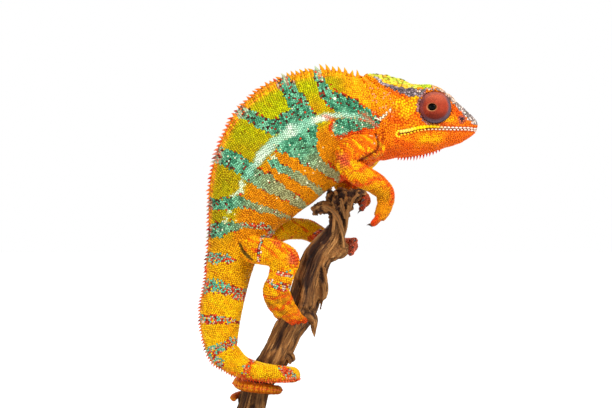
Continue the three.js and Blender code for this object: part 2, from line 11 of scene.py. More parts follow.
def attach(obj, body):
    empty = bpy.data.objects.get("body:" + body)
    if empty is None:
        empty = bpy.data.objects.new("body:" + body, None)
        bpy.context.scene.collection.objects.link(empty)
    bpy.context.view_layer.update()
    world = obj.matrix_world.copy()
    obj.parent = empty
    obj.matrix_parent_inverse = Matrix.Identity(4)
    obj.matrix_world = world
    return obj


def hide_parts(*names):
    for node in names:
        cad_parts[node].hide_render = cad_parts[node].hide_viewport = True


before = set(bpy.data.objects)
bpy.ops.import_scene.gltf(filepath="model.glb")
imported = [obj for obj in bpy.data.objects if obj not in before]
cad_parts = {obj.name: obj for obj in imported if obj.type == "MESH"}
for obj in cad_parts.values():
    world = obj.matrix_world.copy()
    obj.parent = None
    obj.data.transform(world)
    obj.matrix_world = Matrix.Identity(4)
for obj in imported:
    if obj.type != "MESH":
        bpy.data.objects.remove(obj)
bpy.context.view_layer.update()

MM = 0.001

# ---- The flesh: trunk, tail, head, legs and toes -----------------------------------------------------
# Each part is a closed tube worked out from its sections. They are the same sections as the solids', drawn in
# by the depth of the coat, and they are joined into one body by the skin's section below.
COAT_DEPTH = 0.3

# Back x z, belly x z, half width, keel of the back.
TRUNK = [
    (19.0, 168.0, 24.0, 142.0, 8.0, 0.6), (8.8, 175.3, 15.5, 137.6, 10.0, 0.65),
    (-3.4, 179.1, 6.0, 132.0, 12.0, 0.75), (-18.7, 178.2, -4.7, 126.0, 13.5, 0.8),
    (-33.5, 172.6, -12.6, 119.7, 14.0, 0.8), (-46.6, 161.3, -20.0, 114.1, 13.5, 0.8),
    (-55.1, 145.8, -27.2, 108.9, 12.8, 0.8), (-59.4, 127.4, -33.1, 102.2, 11.8, 0.75),
    (-59.9, 107.1, -38.0, 93.6, 10.8, 0.7), (-61.0, 87.5, -41.2, 85.0, 9.5, 0.65),
    (-63.9, 68.9, -45.0, 69.3, 7.8, 0.6), (-60.8, 52.2, -46.8, 56.7, 6.0, 0.55),
]
BELLY_KEEL = 0.52
VENT = 9  # the row where the tail starts
TRUNK_END = (VENT + 0.4) / (len(TRUNK) - 1)  # how far along its rows the trunk's tube runs
COIL_TURNS = 1.86
TAIL_LEAD = [
    (-49.8, -4.6, 49.6, -0.72, -0.1, -0.69, 6.2, 5.3), (-45.0, -8.0, 46.4, -0.42, -0.2, -0.88, 5.2, 4.8),
    (-39.0, -11.2, 44.8, -0.1, -0.35, -0.93, 4.5, 4.4),
]
HEAD = {
    "ridge": [(7.5, 0, 175.2), (11.2, 0, 177.5), (17.3, 0, 177.1), (22.7, 0, 176), (28.1, 0, 174.4),
              (34.9, 0, 171), (41.2, 0, 170.1), (48.8, 0, 165.4), (55.1, 0, 160.7), (59.6, 0, 156.8),
              (61.1, 0, 155.2)],
    "brow": [(7.7, 0.5, 175), (11.4, 0.6, 177.4), (17.1, 2, 176.2), (22.3, 3.6, 174.2), (27.9, 5, 172.6),
             (34.9, 5.2, 172.4), (41.2, 4.8, 171.8), (48.6, 3.6, 166.7), (55.1, 2.4, 161.2),
             (59.7, 1.1, 157.1), (61.2, 0.5, 155.2)],
    "crest": [(8.3, 1.3, 173.6), (11.9, 1.6, 176.2), (16.9, 4.8, 173.5), (21.8, 8, 170.8),
              (27.7, 10.2, 169.4), (34.9, 9.6, 170.3), (42.1, 8.6, 169.9), (48.6, 6.2, 166.1),
              (55.1, 4.2, 160.9), (59.9, 2, 156.6), (61.2, 0.9, 154.8)],
    "cheek": [(10, 7.4, 161.5), (15.5, 9.6, 162), (20, 11.2, 161.6), (25, 11.8, 161.1), (30.8, 11, 160.7),
              (37.1, 9.6, 161.6), (43.4, 8.4, 161.6), (49.7, 7, 158.8), (56, 4.9, 156.6), (60.3, 2.4, 155),
              (61.3, 1.1, 154.3)],
    "lip": [(12.6, 8.6, 151), (19.6, 11, 151.7), (24.5, 12, 151.4), (29, 11.9, 151.9), (33.5, 11.2, 152.6),
            (38.5, 10.2, 153.2), (44.3, 9, 153.5), (50.6, 7.4, 153.5), (56.5, 5.2, 153.6), (60.5, 2.5, 153.7),
            (61.3, 1.1, 153.7)],
    "gape": [(13, 8.6, 149), (19.6, 11, 149.4), (25, 11.8, 149.4), (29.5, 11.6, 150.6), (33.8, 10.9, 151.7),
             (38.9, 9.9, 152.4), (44.8, 8.7, 152.5), (51.1, 7.1, 152.4), (56.7, 5, 152.4), (60.3, 2.3, 152.1),
             (61, 1, 152.3)],
    "jaw": [(13.8, 7.4, 143.2), (19.1, 9.8, 144), (25, 10.2, 144.5), (29.9, 9.4, 144.9), (34.9, 8.2, 145.3),
            (40.3, 7.2, 146), (45.7, 6.2, 146.9), (51.5, 4.9, 148.3), (56.5, 3.5, 149.6), (59.4, 1.7, 150.8),
            (60.5, 0.8, 151.4)],
    "chin": [(14.2, 0, 138.6), (18.7, 0, 138.2), (24.5, 0, 139.3), (30.4, 0, 139.7), (35.8, 0, 140.6),
             (41.2, 0, 142), (46.6, 0, 143.9), (52, 0, 145.4), (56.5, 0, 147.8), (59.4, 0, 149.9),
             (60.4, 0, 151.1)],
}
# Limbs: x, y, z, radius from inside the body to the palm; then each bundle of toes with how many it holds,
# the direction in which they lie beside each other, and where its claws point.
LEGS = {
    "front_right": ([(15.5, -6, 144.5, 5.4), (11, -11.5, 144, 5.7), (6.1, -15.8, 143.4, 5.9),
                     (2.2, -18.4, 140.2, 5.6), (3.4, -19, 134.8, 5.2), (8.8, -19.4, 131, 5.2),
                     (14.6, -19, 127.8, 4.9), (18.7, -18, 123.8, 4.3), (19.1, -17, 119.3, 4.0)],
                    [([(19.2, -18.4, 119.4, 3.7), (17.3, -17.8, 114.3, 3.1), (13.1, -16.8, 109.3, 2.4)], 2,
                      (0.2, 1, 0), (11.1, -16.2, 110.3)),
                     ([(18.9, -15.4, 119.2, 3.4), (16.9, -14, 114.4, 2.9), (13.7, -13.4, 109.9, 2.1)], 3,
                      (0.2, 1, 0), (11.6, -13.2, 110.4))]),
    "front_left": ([(15, 6, 144, 5.4), (11.9, 12, 140.4, 5.6), (7.4, 15.6, 136.4, 5.3), (2, 17, 132.6, 4.9),
                    (0.6, 15.2, 129, 4.4), (2.5, 12.6, 126.4, 4.2), (5.6, 10.6, 123.8, 4.2)],
                   [([(6.4, 10, 123.4, 3.6), (9.4, 6, 121.6, 3.4), (10.1, 1, 119.8, 3.1),
                      (9.2, -2.6, 118.4, 2.6)], 3,
                     (0.3, 0, 1), (6.6, -5.0, 117.2)),
                    ([(4.6, 10, 122.6, 3.4), (1, 9.2, 119.8, 3.1), (-3.2, 7.2, 118.2, 2.6)], 2, (0.3, 0.2, 1),
                     (-6.4, 5.6, 118))]),
    "hind_right": ([(-43, -4, 99.9, 6.4), (-37.6, -10.5, 98.1, 6.1), (-31.3, -13.6, 97.2, 6.2),
                    (-25.0, -14.6, 94.2, 6.2), (-26.3, -15, 89.6, 5.9), (-27.7, -14.8, 84.8, 5.6),
                    (-29.2, -13.6, 80.1, 6.1), (-27.2, -12.4, 74.9, 6.0), (-24.1, -12.2, 71.6, 4.7)],
                   [([(-24.5, -13, 72, 4.5), (-21.2, -12.3, 68.5, 3.8), (-18.5, -11.2, 65.9, 2.9)], 3,
                     (1, 0, 0.2), (-16.6, -10.2, 62.9)),
                    ([(-27.4, -10, 73, 4.0), (-27.8, -4.5, 71.2, 3.1), (-28, 1.5, 69.4, 2.8),
                      (-25.4, 7, 67, 2.5)], 2,
                     (0.4, 0, 0.9), (-22, 9.6, 65.2))]),
    "hind_left": ([(-41.2, 4, 100.8, 6.2), (-34, 10, 104, 6.0), (-26.8, 13, 107, 5.2), (-20, 14, 107.6, 5.0),
                   (-14.6, 14, 106.6, 4.9), (-9.2, 13.2, 103.6, 4.5), (-4.3, 12, 100.8, 4.3)],
                  [([(-4, 11.6, 100.4, 4.0), (1.2, 9.6, 99.8, 3.9), (4.6, 5, 99.8, 3.6), (5.1, 0, 99.4, 3.2)],
                    3, (0.3, 0, 1), (3.8, -4.2, 98.6)),
                   ([(-6, 11, 101, 3.6), (-9.6, 8.2, 103.4, 2.9), (-10.8, 3.4, 106.2, 2.4)], 2, (1, 0, 0.6),
                    (-10.3, 0.2, 107.8))]),
}


def curve_between(a, b, c, d, t):
    """Uniform Catmull-Rom curve from b to c at t, with a before them and d after."""
    return 0.5 * (2 * b + (c - a) * t + (2 * a - 5 * b + 4 * c - d) * t**2 + (3 * b - a - 3 * c + d) * t**3)


def spline(rows, share):
    """A curve through rows of values: at a share of the way along, each value lies between its two rows."""
    rows = np.asarray(rows, float)
    s = np.clip(share, 0, 1) * (len(rows) - 1)
    i = np.minimum(s.astype(int), len(rows) - 2)
    t = (s - i)[..., None]
    return curve_between(*(rows[np.clip(i + k, 0, len(rows) - 1)] for k in (-1, 0, 1, 2)), t)


def unit(vectors):
    return vectors / np.maximum(np.linalg.norm(vectors, axis=-1, keepdims=True), 1e-12)


def way_down(around):
    """The share of the way from back to belly at an angle around a part."""
    return (1 - np.cos(around)) / 2


def trunk_form(along, around):
    """Sections stand on the line from back to belly, and their half width is keel and belly powers of the
    share of the way down that line, scaled to reach the row's half width at the widest point."""
    back_x, back_z, belly_x, belly_z, half, keel = spline(TRUNK, along).T[..., None]
    height = np.hypot(belly_x - back_x, belly_z - back_z)
    down_x, down_z = (belly_x - back_x) / height, (belly_z - back_z) / height
    t = way_down(around)
    run = COAT_DEPTH + (height - 2 * COAT_DEPTH) * t
    widest = keel / (keel + BELLY_KEEL)
    share = (t / widest) ** keel * (np.maximum(1 - t, 0) / (1 - widest)) ** BELLY_KEEL
    y = np.sign(np.sin(around)) * (half - COAT_DEPTH) * share * (np.abs(np.sin(around)) > 1e-9)
    return np.stack([back_x + down_x * run, y, back_z + down_z * run], -1)


def tail_rows():
    """The tail's sections: straight below the vent, over the turn, then a coil round the perch that sinks and
    narrows steadily with each turn."""
    straight = []
    for back_x, back_z, belly_x, belly_z, half, _ in TRUNK[VENT - 1:]:
        up = unit(np.array([back_x - belly_x, 0, back_z - belly_z]))
        height = math.hypot(back_x - belly_x, back_z - belly_z)
        straight.append([(back_x + belly_x) / 2, 0, (back_z + belly_z) / 2, *up, height / 2, half])
    straight[-1][1] = TAIL_LEAD[0][1] / 3
    turn = np.arange(int(COIL_TURNS * 12) + 1) / 12
    angle = turn * 2 * math.pi
    radius = 4.0 * np.exp(-0.5 * turn)
    reach = 7.9 - 0.75 * turn + radius + 0.15
    outward = np.stack([np.sin(angle), -np.cos(angle), 0 * angle], 1)
    share = (0.7 * np.exp(-3 * turn))[:, None]
    facing = unit(outward * (1 - share) + np.array([0, 0, -1]) * share)
    middle = np.stack([-32.5 - 4.4 * turn, 0 * turn, 43.7 - 6.9 * turn], 1) + reach[:, None] * outward
    coil = np.column_stack([middle, facing, radius * 1.04, radius])
    coil[-1, 6:] = 0.7
    return np.array([*straight, *TAIL_LEAD, *coil])


TAIL = tail_rows()


def tail_form(along, around):
    """Ellipses square to the tail's path, one axis along the way its back faces."""
    x, y, z, ux, uy, uz, tall, wide = spline(TAIL, along).T
    ahead, behind = (spline(TAIL[:, :3], np.clip(along + shift, 0, 1)) for shift in (0.004, -0.004))
    path = unit(ahead - behind)
    up = np.stack([ux, uy, uz], 1)
    up = unit(up - (up * path).sum(1, keepdims=True) * path)
    side = np.cross(path, up)
    cos, sin = np.cos(around)[None, :, None], np.sin(around)[None, :, None]
    tall, wide = ((v - COAT_DEPTH * np.minimum(1, v / 1.5))[:, None, None] for v in (tall, wide))
    return np.stack([x, y, z], 1)[:, None] + up[:, None] * tall * cos + side[:, None] * wide * sin


def head_form(along, around):
    """Closed curves through the head's eight lines and their mirror images, from the nape to the snout."""
    right = np.stack([spline(line, along) for line in HEAD.values()], 1)
    left = right[:, 6:0:-1] * [1, -1, 1]
    ring = np.concatenate([right, left], 1)
    count = ring.shape[1]
    s = (around / (2 * math.pi)) % 1 * count
    i = s.astype(int) % count
    t = (s - s.astype(int))[None, :, None]
    curve = curve_between(*(ring[:, (i + k) % count] for k in (-1, 0, 1, 2)), t)
    middle = (right[:, :1] + right[:, 7:8]) / 2
    return curve - COAT_DEPTH * unit(curve - middle)


def round_form(rows, along, around, lean=0.06):
    """Circles square to a path of x, y, z, radius rows."""
    x, y, z, radius = spline(rows, along).T
    line = np.asarray(rows)[:, :3]
    path = unit(spline(line, np.clip(along + lean, 0, 1)) - spline(line, np.clip(along - lean, 0, 1)))
    side = unit(np.cross(path, np.where(np.abs(path[:, 1:2]) > 0.9, [[1.0, 0, 0]], [[0, 1.0, 0]])))
    over = np.cross(path, side)
    radius = (radius - COAT_DEPTH)[:, None, None]
    cos, sin = np.cos(around)[None, :, None], np.sin(around)[None, :, None]
    return np.stack([x, y, z], 1)[:, None] + radius * (side[:, None] * cos + over[:, None] * sin)


def tube_faces(rings, sides):
    """Quads between neighbouring rings, and a triangle fan to a middle point at each end."""
    k, j = np.meshgrid(np.arange(rings - 1), np.arange(sides), indexing="ij")
    here, beside = k * sides + j, k * sides + (j + 1) % sides
    quads = np.stack([here, beside, beside + sides, here + sides], -1).reshape(-1, 4)
    first, last = rings * sides, rings * sides + 1
    edge = np.arange(sides)
    step = (edge + 1) % sides
    end = (rings - 1) * sides
    fans = np.concatenate([
        np.stack([step, edge, np.full(sides, first)], 1),
        np.stack([end + edge, end + step, np.full(sides, last)], 1),
    ])
    return quads, fans


def keep_tint(mesh, tint):
    """Keeps a colour for each point of a mesh, for its material to read."""
    colours = np.column_stack([np.clip(tint, 0, 1), np.ones(len(tint))]).astype(np.float32)
    mesh.attributes.new("tint", "FLOAT_COLOR", "POINT").data.foreach_set("color", colours.ravel())


def put_mesh(name, points, faces, tint=None, patches=None):
    """Puts points in millimetres and arrays of faces into a mesh in metres. tint is a colour for each
    point, and patches a place for each point on the map that the coat's colours are kept on."""
    mesh = bpy.data.meshes.new(name)
    faces = [np.asarray(f) for f in faces if len(f)]
    corners = np.concatenate([f.ravel() for f in faces]).astype(np.int32)
    sizes = np.concatenate([np.full(len(f), f.shape[1]) for f in faces]).astype(np.int32)
    mesh.vertices.add(len(points))
    mesh.vertices.foreach_set("co", (np.asarray(points) * MM).astype(np.float32).ravel())
    mesh.loops.add(len(corners))
    mesh.loops.foreach_set("vertex_index", corners)
    mesh.polygons.add(len(sizes))
    mesh.polygons.foreach_set("loop_start", (np.cumsum(sizes) - sizes).astype(np.int32))
    mesh.update(calc_edges=True)
    mesh.polygons.foreach_set("use_smooth", np.full(len(sizes), True))
    if tint is not None:
        keep_tint(mesh, tint)
    if patches is not None:
        layer = mesh.uv_layers.new(name="OFBake")
        layer.data.foreach_set("uv", patches[corners].astype(np.float32).ravel())
    mesh.update()
    piece = bpy.data.objects.new(name, mesh)
    bpy.context.scene.collection.objects.link(piece)
    return piece


def closed_tube(form, rings, sides, start=0.0, stop=1.0):
    """A form's grid of points closed at both ends, with each point's place along and around it."""
    along = np.linspace(start, stop, rings)
    around = np.arange(sides) / sides * 2 * math.pi
    grid = form(along, around)
    points = np.concatenate([grid.reshape(-1, 3), grid[[0, -1]].mean(1)])
    place = np.stack([np.repeat(along, sides), np.tile(around, rings)], 1)
    place = np.concatenate([place, [[start, 0], [stop, 0]]])
    return points, tube_faces(rings, sides), place


# The parts are 0 trunk, 1 tail, 2 head, 3 to 6 the legs and 7 to 14 their bundles of toes, two to a leg.
parts = []  # number, points, faces, place along and around
parts.append((0, *closed_tube(trunk_form, 260, 150, 0, TRUNK_END)))
parts.append((1, *closed_tube(tail_form, 460, 56, 0.02)))
parts.append((2, *closed_tube(head_form, 120, 150)))
toe_tips = []
for number, (rows, bundles) in enumerate(LEGS.values()):
    parts.append((3 + number, *closed_tube(lambda a, r: round_form(rows, a, r), 90, 44)))
    for bundle, (path, count, beside, claw) in enumerate(bundles):
        beside = unit(np.array(beside, float))
        part = 7 + 2 * number + bundle
        short = np.array(path, float)
        short[-1, 3] *= 0.6
        parts.append((part, *closed_tube(lambda a, r: round_form(short, a, r, 0.12), 40, 30, 0, 0.64)))
        for k in range(count):
            toe = spline(path, np.linspace(0.3, 1, 7))
            spread = np.linspace(0.2, 1, 7)[:, None] * (k - (count - 1) / 2) * (1.15 if count == 2 else 1.0)
            toe[:, :3] += beside * spread * toe[:, 3:]
            toe[:, 3] *= 0.62 if count == 2 else 0.52
            toe[-1, 3] *= 0.62
            tip, heading = toe[-1, :3], unit(np.array(claw) - np.array(path[-1][:3]))
            points, faces, place = closed_tube(lambda a, r: round_form(toe, a, r, 0.12), 24, 16)
            parts.append((part, points, faces, place * [0.7, 1] + [0.3, 0]))
            toe_tips.append((tip, heading))

place_tree = KDTree(sum(len(points) for _, points, _, _ in parts))
place_of = []
for part, points, _, place in parts:
    for point in points.tolist():
        place_tree.insert(point, len(place_of))
        place_of.append(None)
    place_of[-len(points):] = np.column_stack([np.full(len(points), part), place]).tolist()
place_tree.balance()
place_of = np.array(place_of)


def places(points):
    """The part, the share along it and the angle around it of the section point nearest to each point."""
    return place_of[[place_tree.find(p)[1] for p in points.tolist()]]


# ---- The skin ----------------------------------------------------------------------------------------
# One soft skin without a seam covers the whole animal. The tubes are fused on a fine lattice, smoothed so
# that each limb runs into the body, and then worked: eye sockets, mouth, nostrils, folds and muscle.
LATTICE = 0.61
EYE = np.array([41.7, 0, 161.8])
EYE_SOCKET = 8.25  # radius of the pit that the eye's cone stands in


def ripple(points, size, seed):
    """Smooth noise from -1 to 1: seven sine waves of about the given wavelength in scattered directions."""
    rng = np.random.default_rng(seed)
    ways = unit(rng.normal(size=(7, 3))) * rng.uniform(0.7, 1.5, (7, 1)) * 2 * math.pi / size
    return np.sin(points @ ways.T + rng.uniform(0, 6.28, 7)).sum(1) / 3.2


def step(low, high, value):
    """0 below low, 1 above high, and a smooth S between them."""
    t = np.clip((value - low) / (high - low), 0, 1)
    return t * t * (3 - 2 * t)


def fuse(name, tubes, lattice):
    """Joins closed tubes on a lattice into one body: the voxel remesh keeps only their common outside."""
    points, quads, fans, shift = [], [], [], 0
    for own_points, (own_quads, own_fans) in tubes:
        points.append(own_points)
        quads.append(own_quads + shift)
        fans.append(own_fans + shift)
        shift += len(own_points)
    raw = put_mesh(name + "_raw", np.concatenate(points), [np.concatenate(quads), np.concatenate(fans)])
    remesh = raw.modifiers.new("fuse", "REMESH")
    remesh.mode = "VOXEL"
    remesh.voxel_size = lattice * MM
    mesh = raw.evaluated_get(bpy.context.evaluated_depsgraph_get()).to_mesh()
    found = np.empty(len(mesh.vertices) * 3, np.float32)
    mesh.vertices.foreach_get("co", found)
    corners = np.empty(len(mesh.loops), np.int32)
    mesh.loops.foreach_get("vertex_index", corners)
    bpy.data.objects.remove(raw)
    return found.reshape(-1, 3).astype(float) / MM, corners.reshape(-1, 4)


def edges_of(quads):
    """Each edge of the quads once."""
    pairs = np.concatenate([quads[:, [0, 1]], quads[:, [1, 2]], quads[:, [2, 3]], quads[:, [3, 0]]])
    return np.unique(np.sort(pairs, 1), axis=0)


def smoothed(points, edges, rounds, amount=0.5, rebound=-0.52):
    """Moves each point towards the mean of its neighbours and then a little back, so that bulk is kept."""
    i, j = edges.T
    n = len(points)
    count = np.bincount(np.concatenate([i, j]), minlength=n)[:, None]
    for share in [amount, rebound] * rounds:
        total = [np.bincount(i, points[j, k], n) + np.bincount(j, points[i, k], n) for k in range(3)]
        points = points + share * (np.stack(total, 1) / count - points)
    return points


def facing(points, quads):
    """Unit normals of the points: the sum of the normals of the faces around each."""
    normal = np.cross(points[quads[:, 2]] - points[quads[:, 0]], points[quads[:, 3]] - points[quads[:, 1]])
    sums = [np.bincount(quads.ravel(), np.repeat(normal[:, k], 4), len(points)) for k in range(3)]
    return unit(np.stack(sums, 1))


def off_line(points, line):
    """Distance of each point to a bent line."""
    line = np.asarray(line, float)
    best = np.full(len(points), 1e9)
    for a, b in zip(line[:-1], line[1:]):
        t = np.clip((points - a) @ (b - a) / ((b - a) @ (b - a)), 0, 1)[:, None]
        best = np.minimum(best, np.linalg.norm(points - a - t * (b - a), axis=1))
    return best


gape_line = np.array(HEAD["gape"][2:], float)
gape_line[0] = (25.6, 11.7, 150.0)
NOSTRIL = np.array([53.6, 5.6, 156.8])
# Folds of the skin as x, z and a half width: the skin is pressed in along each, and painted shade is laid
# along it.
FOLDS = [[(14.9, 150, 0.2), (16.1, 146.2, 0.3), (15.6, 142.8, 0.35), (12.4, 140.7, 0.35), (6.7, 137.7, 0.1)],
         [(18.2, 152, 0.1), (18, 147, 0.2), (17.2, 142.4, 0.1)],
         [(-45.4, 101, 0.4), (-44, 98, 0.6), (-41.6, 95.6, 0.6), (-39.8, 94, 0.2)]]


def on_left(points):
    """The points, with those of the right side mirrored to the left."""
    return points * [1, 0, 1] + np.abs(points[:, 1:2]) * [0, 1, 0]


def work_skin(points):
    """How far each point of the skin is pushed out, in millimetres: soft bulges less creases and pits."""
    mirrored = on_left(points)
    x, z = points[:, 0], points[:, 2]
    in_head = step(20, 24, x) * step(136, 140, z)
    push = -0.5 * np.exp(-(off_line(mirrored, gape_line) / 0.5) ** 2) * in_head
    push += -1.0 * np.exp(-(np.linalg.norm(mirrored - NOSTRIL, axis=1) / 0.65) ** 2)
    push += 0.35 * np.exp(-(np.linalg.norm(mirrored - NOSTRIL - [-0.6, 0.3, 0.9], axis=1) / 1.1) ** 2)
    crest = off_line(mirrored, HEAD["crest"][1:6])
    push += 0.6 * np.exp(-(crest / 0.8) ** 2) - 0.3 * np.exp(-((crest - 2.4) / 1.3) ** 2) * (z > 160)
    push += 0.35 * np.exp(-(off_line(mirrored, HEAD["crest"][6:10]) / 0.8) ** 2)
    push += 0.35 * np.exp(-(off_line(mirrored, HEAD["ridge"][1:5]) / 0.7) ** 2)
    for spot, size, rise in (((22, 11, 153), 5, 0.4), ((29, 11.4, 161), 4.5, 0.55), ((33, 10.5, 157), 3, 0.3),
                             ((24, 10, 146.5), 4, 0.35), ((42, 7, 148.4), 3.5, 0.25),
                             ((51, 6.4, 161), 2.5, 0.25)):
        push += rise * np.exp(-(np.linalg.norm(mirrored - spot, axis=1) / size) ** 2)
    beside_eye = np.hypot(x - EYE[0], z - EYE[2])
    outside = (np.abs(points[:, 1]) > 4) * (z > 150)
    push += 0.4 * np.exp(-((beside_eye - 8.35) / 0.7) ** 2) * outside * step(30, 33, x)
    throat = step(137, 141, z) * (1 - step(146, 149, z)) * in_head
    push += 0.07 * throat * np.sin(z * 3.4 + 0.35 * x + 2 * ripple(points, 16, 3))
    flank = step(-58, -50, x) * (1 - step(0, 10, x)) * step(104, 112, z)
    push += 0.16 * flank * ripple(points * [1, 1, 0.35], 9, 5)
    for rows, deep in zip(FOLDS, (0.75, 0.4, 0.9)):
        line = np.array([(a, 0, c) for a, c, _ in rows])
        push -= deep * np.exp(-(off_line(points * [1, 0, 1], line) / 0.6) ** 2) * (np.abs(points[:, 1]) > 6)
    return push + 0.05 * ripple(points, 3.2, 9)


body, body_quads = fuse("body", [(points, faces) for _, points, faces, _ in parts], LATTICE)
body_edges = edges_of(body_quads)
body = smoothed(body, body_edges, 5)
beside_eye = np.hypot(body[:, 0] - EYE[0], body[:, 2] - EYE[2])
depth = 5.5 + 8 * step(EYE_SOCKET - 1.5, EYE_SOCKET, beside_eye)
in_socket = (beside_eye < EYE_SOCKET) & (np.abs(body[:, 1]) > 3)
body[in_socket, 1] = (np.sign(body[:, 1]) * np.minimum(np.abs(body[:, 1]), depth))[in_socket]
body = smoothed(body, body_edges, 1)
body += facing(body, body_quads) * work_skin(body)[:, None]
skin = put_mesh("skin", body, [body_quads])
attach(skin, "root")

# ---- The colours -------------------------------------------------------------------------------------
# The markings are painted by place: each is a tapering stroke on the animal's side, the same on the left
# and the right, over a ground that runs from gold to lime above the pale stripe. Each scale takes one
# colour, with its own small chance of being a dark red or a pale speck.
BANDS = [  # x, z, half width, and how far the green has gone to olive
    [(-11.5, 180, 1.6, 0.1), (-10, 174.5, 1.9, 0), (-7.5, 168.5, 2.5, 0), (-1.5, 163.8, 4.1, 0),
     (5, 161.4, 3.2, 0), (11, 158.9, 1.9, 0), (16.5, 155.4, 1, 0)],
    [(-3.4, 153, 1.6, 0), (-0.8, 152.6, 3.6, 0), (3, 153.8, 3.2, 0), (7, 154.3, 2.5, 0.1),
     (11, 154.1, 1.8, 0.2), (14.5, 153.3, 0.7, 0.3)],
    [(-28.5, 177, 2.4, 0.2), (-25.5, 172.5, 3.2, 0), (-20.5, 165.5, 3.9, 0), (-16.5, 159, 4.2, 0),
     (-16.6, 152, 5.4, 0), (-17, 145.5, 5.6, 0), (-15, 140, 4.6, 0.3), (-10.6, 136.6, 2.8, 0.7),
     (-5.5, 133, 2.1, 1), (-1, 130, 1.5, 1)],
    [(-27.5, 143.6, 1.6, 0), (-23.5, 144.5, 3.6, 0), (-19, 143, 4.5, 0.1)],
    [(-47.5, 161.5, 2, 0.2), (-42.5, 159, 2.3, 0.1), (-37, 155.8, 2.6, 0), (-32, 152.8, 3.2, 0),
     (-26.5, 154.4, 3.6, 0), (-21, 158, 3.6, 0)],
    [(-32, 137.4, 1.3, 0), (-27.5, 135.2, 1.8, 0.1), (-22.5, 132.4, 1.8, 0.6), (-17, 129, 1.8, 1),
     (-12.5, 126.2, 1.6, 1), (-9, 124, 1.3, 1)],
    [(-58.5, 141.5, 3.4, 0.2), (-54, 140.6, 3.7, 0), (-49, 138.4, 4, 0), (-44, 135.5, 4, 0),
     (-39.5, 131.6, 3.8, 0.3), (-34.5, 129, 3.8, 0.6), (-29.5, 125.8, 3.3, 0.9), (-24.5, 122.6, 2.7, 1),
     (-20, 119.8, 2.2, 1), (-16, 117.6, 1.7, 1)],
    [(-61, 118.6, 2.6, 0.1), (-55, 118.6, 2.6, 0), (-50, 119.1, 2.8, 0), (-45.5, 119.6, 2.6, 0.2),
     (-41, 118.2, 2.1, 0.6), (-36, 116.8, 1.8, 0.8), (-31, 115.3, 1.5, 0.9), (-26, 113.5, 1, 1),
     (-22.5, 112.2, 0.6, 1)],
    [(-61, 106.6, 3, 0.1), (-55, 107.2, 3.1, 0), (-50, 108.4, 2.3, 0.2), (-44, 109.4, 1.4, 0.6),
     (-38, 109.2, 1.2, 0.8), (-33, 108, 1.5, 1), (-31, 105.4, 1.2, 1)],
]
FLECKED = [  # broken bands of the tail and thigh: x, z, half width, and the share of red in them
    [(-60.5, 94.8, 2.2, 0.2), (-55, 94.8, 2.2, 0.3), (-51, 94.2, 1.7, 0.6), (-47.5, 93.8, 0.8, 0.9)],
    [(-63, 81.5, 2.7, 0), (-57, 82, 2.8, 0), (-52, 81, 2.4, 0.3), (-49, 80, 2.3, 0.6), (-46, 78.6, 2.8, 0.7),
     (-43, 77.4, 2.4, 0.75)],
    [(-65, 68, 1.8, 0.7), (-58, 67.2, 1.8, 0.7), (-52, 66.8, 1.4, 0.8), (-46, 66, 0.8, 1)],
    [(-60, 52.5, 2, 0.4), (-56, 53.6, 2.2, 0.3), (-52, 55.4, 1.8, 0.4), (-48, 57.2, 1.8, 0.8)],
    [(-57.5, 50.5, 1.8, 0.4), (-54, 47.4, 1.7, 0.5)],
    [(-39.5, 49, 0.9, 0.9), (-42.5, 46, 1.3, 0.8), (-44, 42.6, 1.1, 0.9)],
    [(-28, 47, 1, 0.8), (-24.5, 44, 1.6, 0.6), (-21, 41, 1, 0.9)],
    [(-32, 105, 0.5, 1.2), (-35.5, 103.6, 0.9, 1.3), (-37, 98.6, 0.8, 1.2), (-37, 93.4, 0.6, 1.3)],
    [(-29, 89, 0.5, 1.1), (-26, 88.3, 0.9, 1), (-23, 87.9, 1, 1)],
    [(-32.2, 85, 1, 1.2), (-30, 83, 1.2, 1.1), (-27, 82.2, 1.4, 1), (-23.6, 82, 1, 1.2)],
    [(-45, 109.5, 0.7, 0.8), (-40, 109.7, 0.9, 0.9), (-34.4, 108.8, 0.9, 0.9), (-31.6, 105.8, 0.8, 1)],
]
STRIPE = [  # x, z, half width, and how white it is
    (16.2, 153.4, 0.3, 0.7), (13, 155.6, 0.5, 0.5), (10, 157.1, 0.8, 0.3), (6, 158.1, 1.2, 0.4),
    (1, 158.4, 1.4, 0.5), (-4, 158, 1.4, 0.8), (-7, 157.4, 1.6, 1), (-12, 156.1, 1.7, 1),
    (-15, 154.7, 2.1, 0.25), (-18.5, 153, 2.5, 0.3), (-22.7, 151.5, 3.2, 0.9), (-26.5, 148.8, 2.2, 0.5),
    (-30.3, 145.9, 2.2, 0.55), (-33.8, 142.5, 2.5, 0.85), (-37.2, 138.4, 2, 0.9),
    (-38.8, 135.9, 1.2, 0.6), (-41, 133.1, 2, 0.25), (-43, 130.4, 1.1, 0.2)]
# Small strokes have only x, z and half width.
SPOTS = [[(-44.4, 127.8, 1.3), (-44.6, 127.2, 1.3)], [(-48.4, 122.4, 0.8), (-45.2, 124.2, 1.3)],
         [(-51, 114.4, 0.4), (-49, 115.6, 0.6)], [(-53.4, 110.4, 0.3), (-51.4, 112.2, 0.5)],
         [(-30.6, 139.6, 0.8), (-29.8, 139, 0.8)], [(-55.5, 106.5, 0.2), (-53, 107.4, 0.3)]]
PEACHY = [[(15.6, 156.2, 0.5), (18.6, 158.4, 0.6), (21.6, 160.9, 0.4)],
          [(15.4, 157, 0.5), (17.2, 156.8, 0.3)], [(15.4, 149, 0.3), (15.4, 148.4, 0.3)],
          [(13, 148.9, 0.2), (13.2, 148.8, 0.2)], [(13.5, 145.3, 0.2), (13.6, 145.2, 0.2)]]
ROSY = [[(0.2, 139, 1.7), (1, 136.6, 1.7)], [(-22.2, 96.4, 1.6), (-21.8, 94, 1.6)],
        [(-29.2, 101.6, 0.9), (-28.4, 101, 0.9)]]
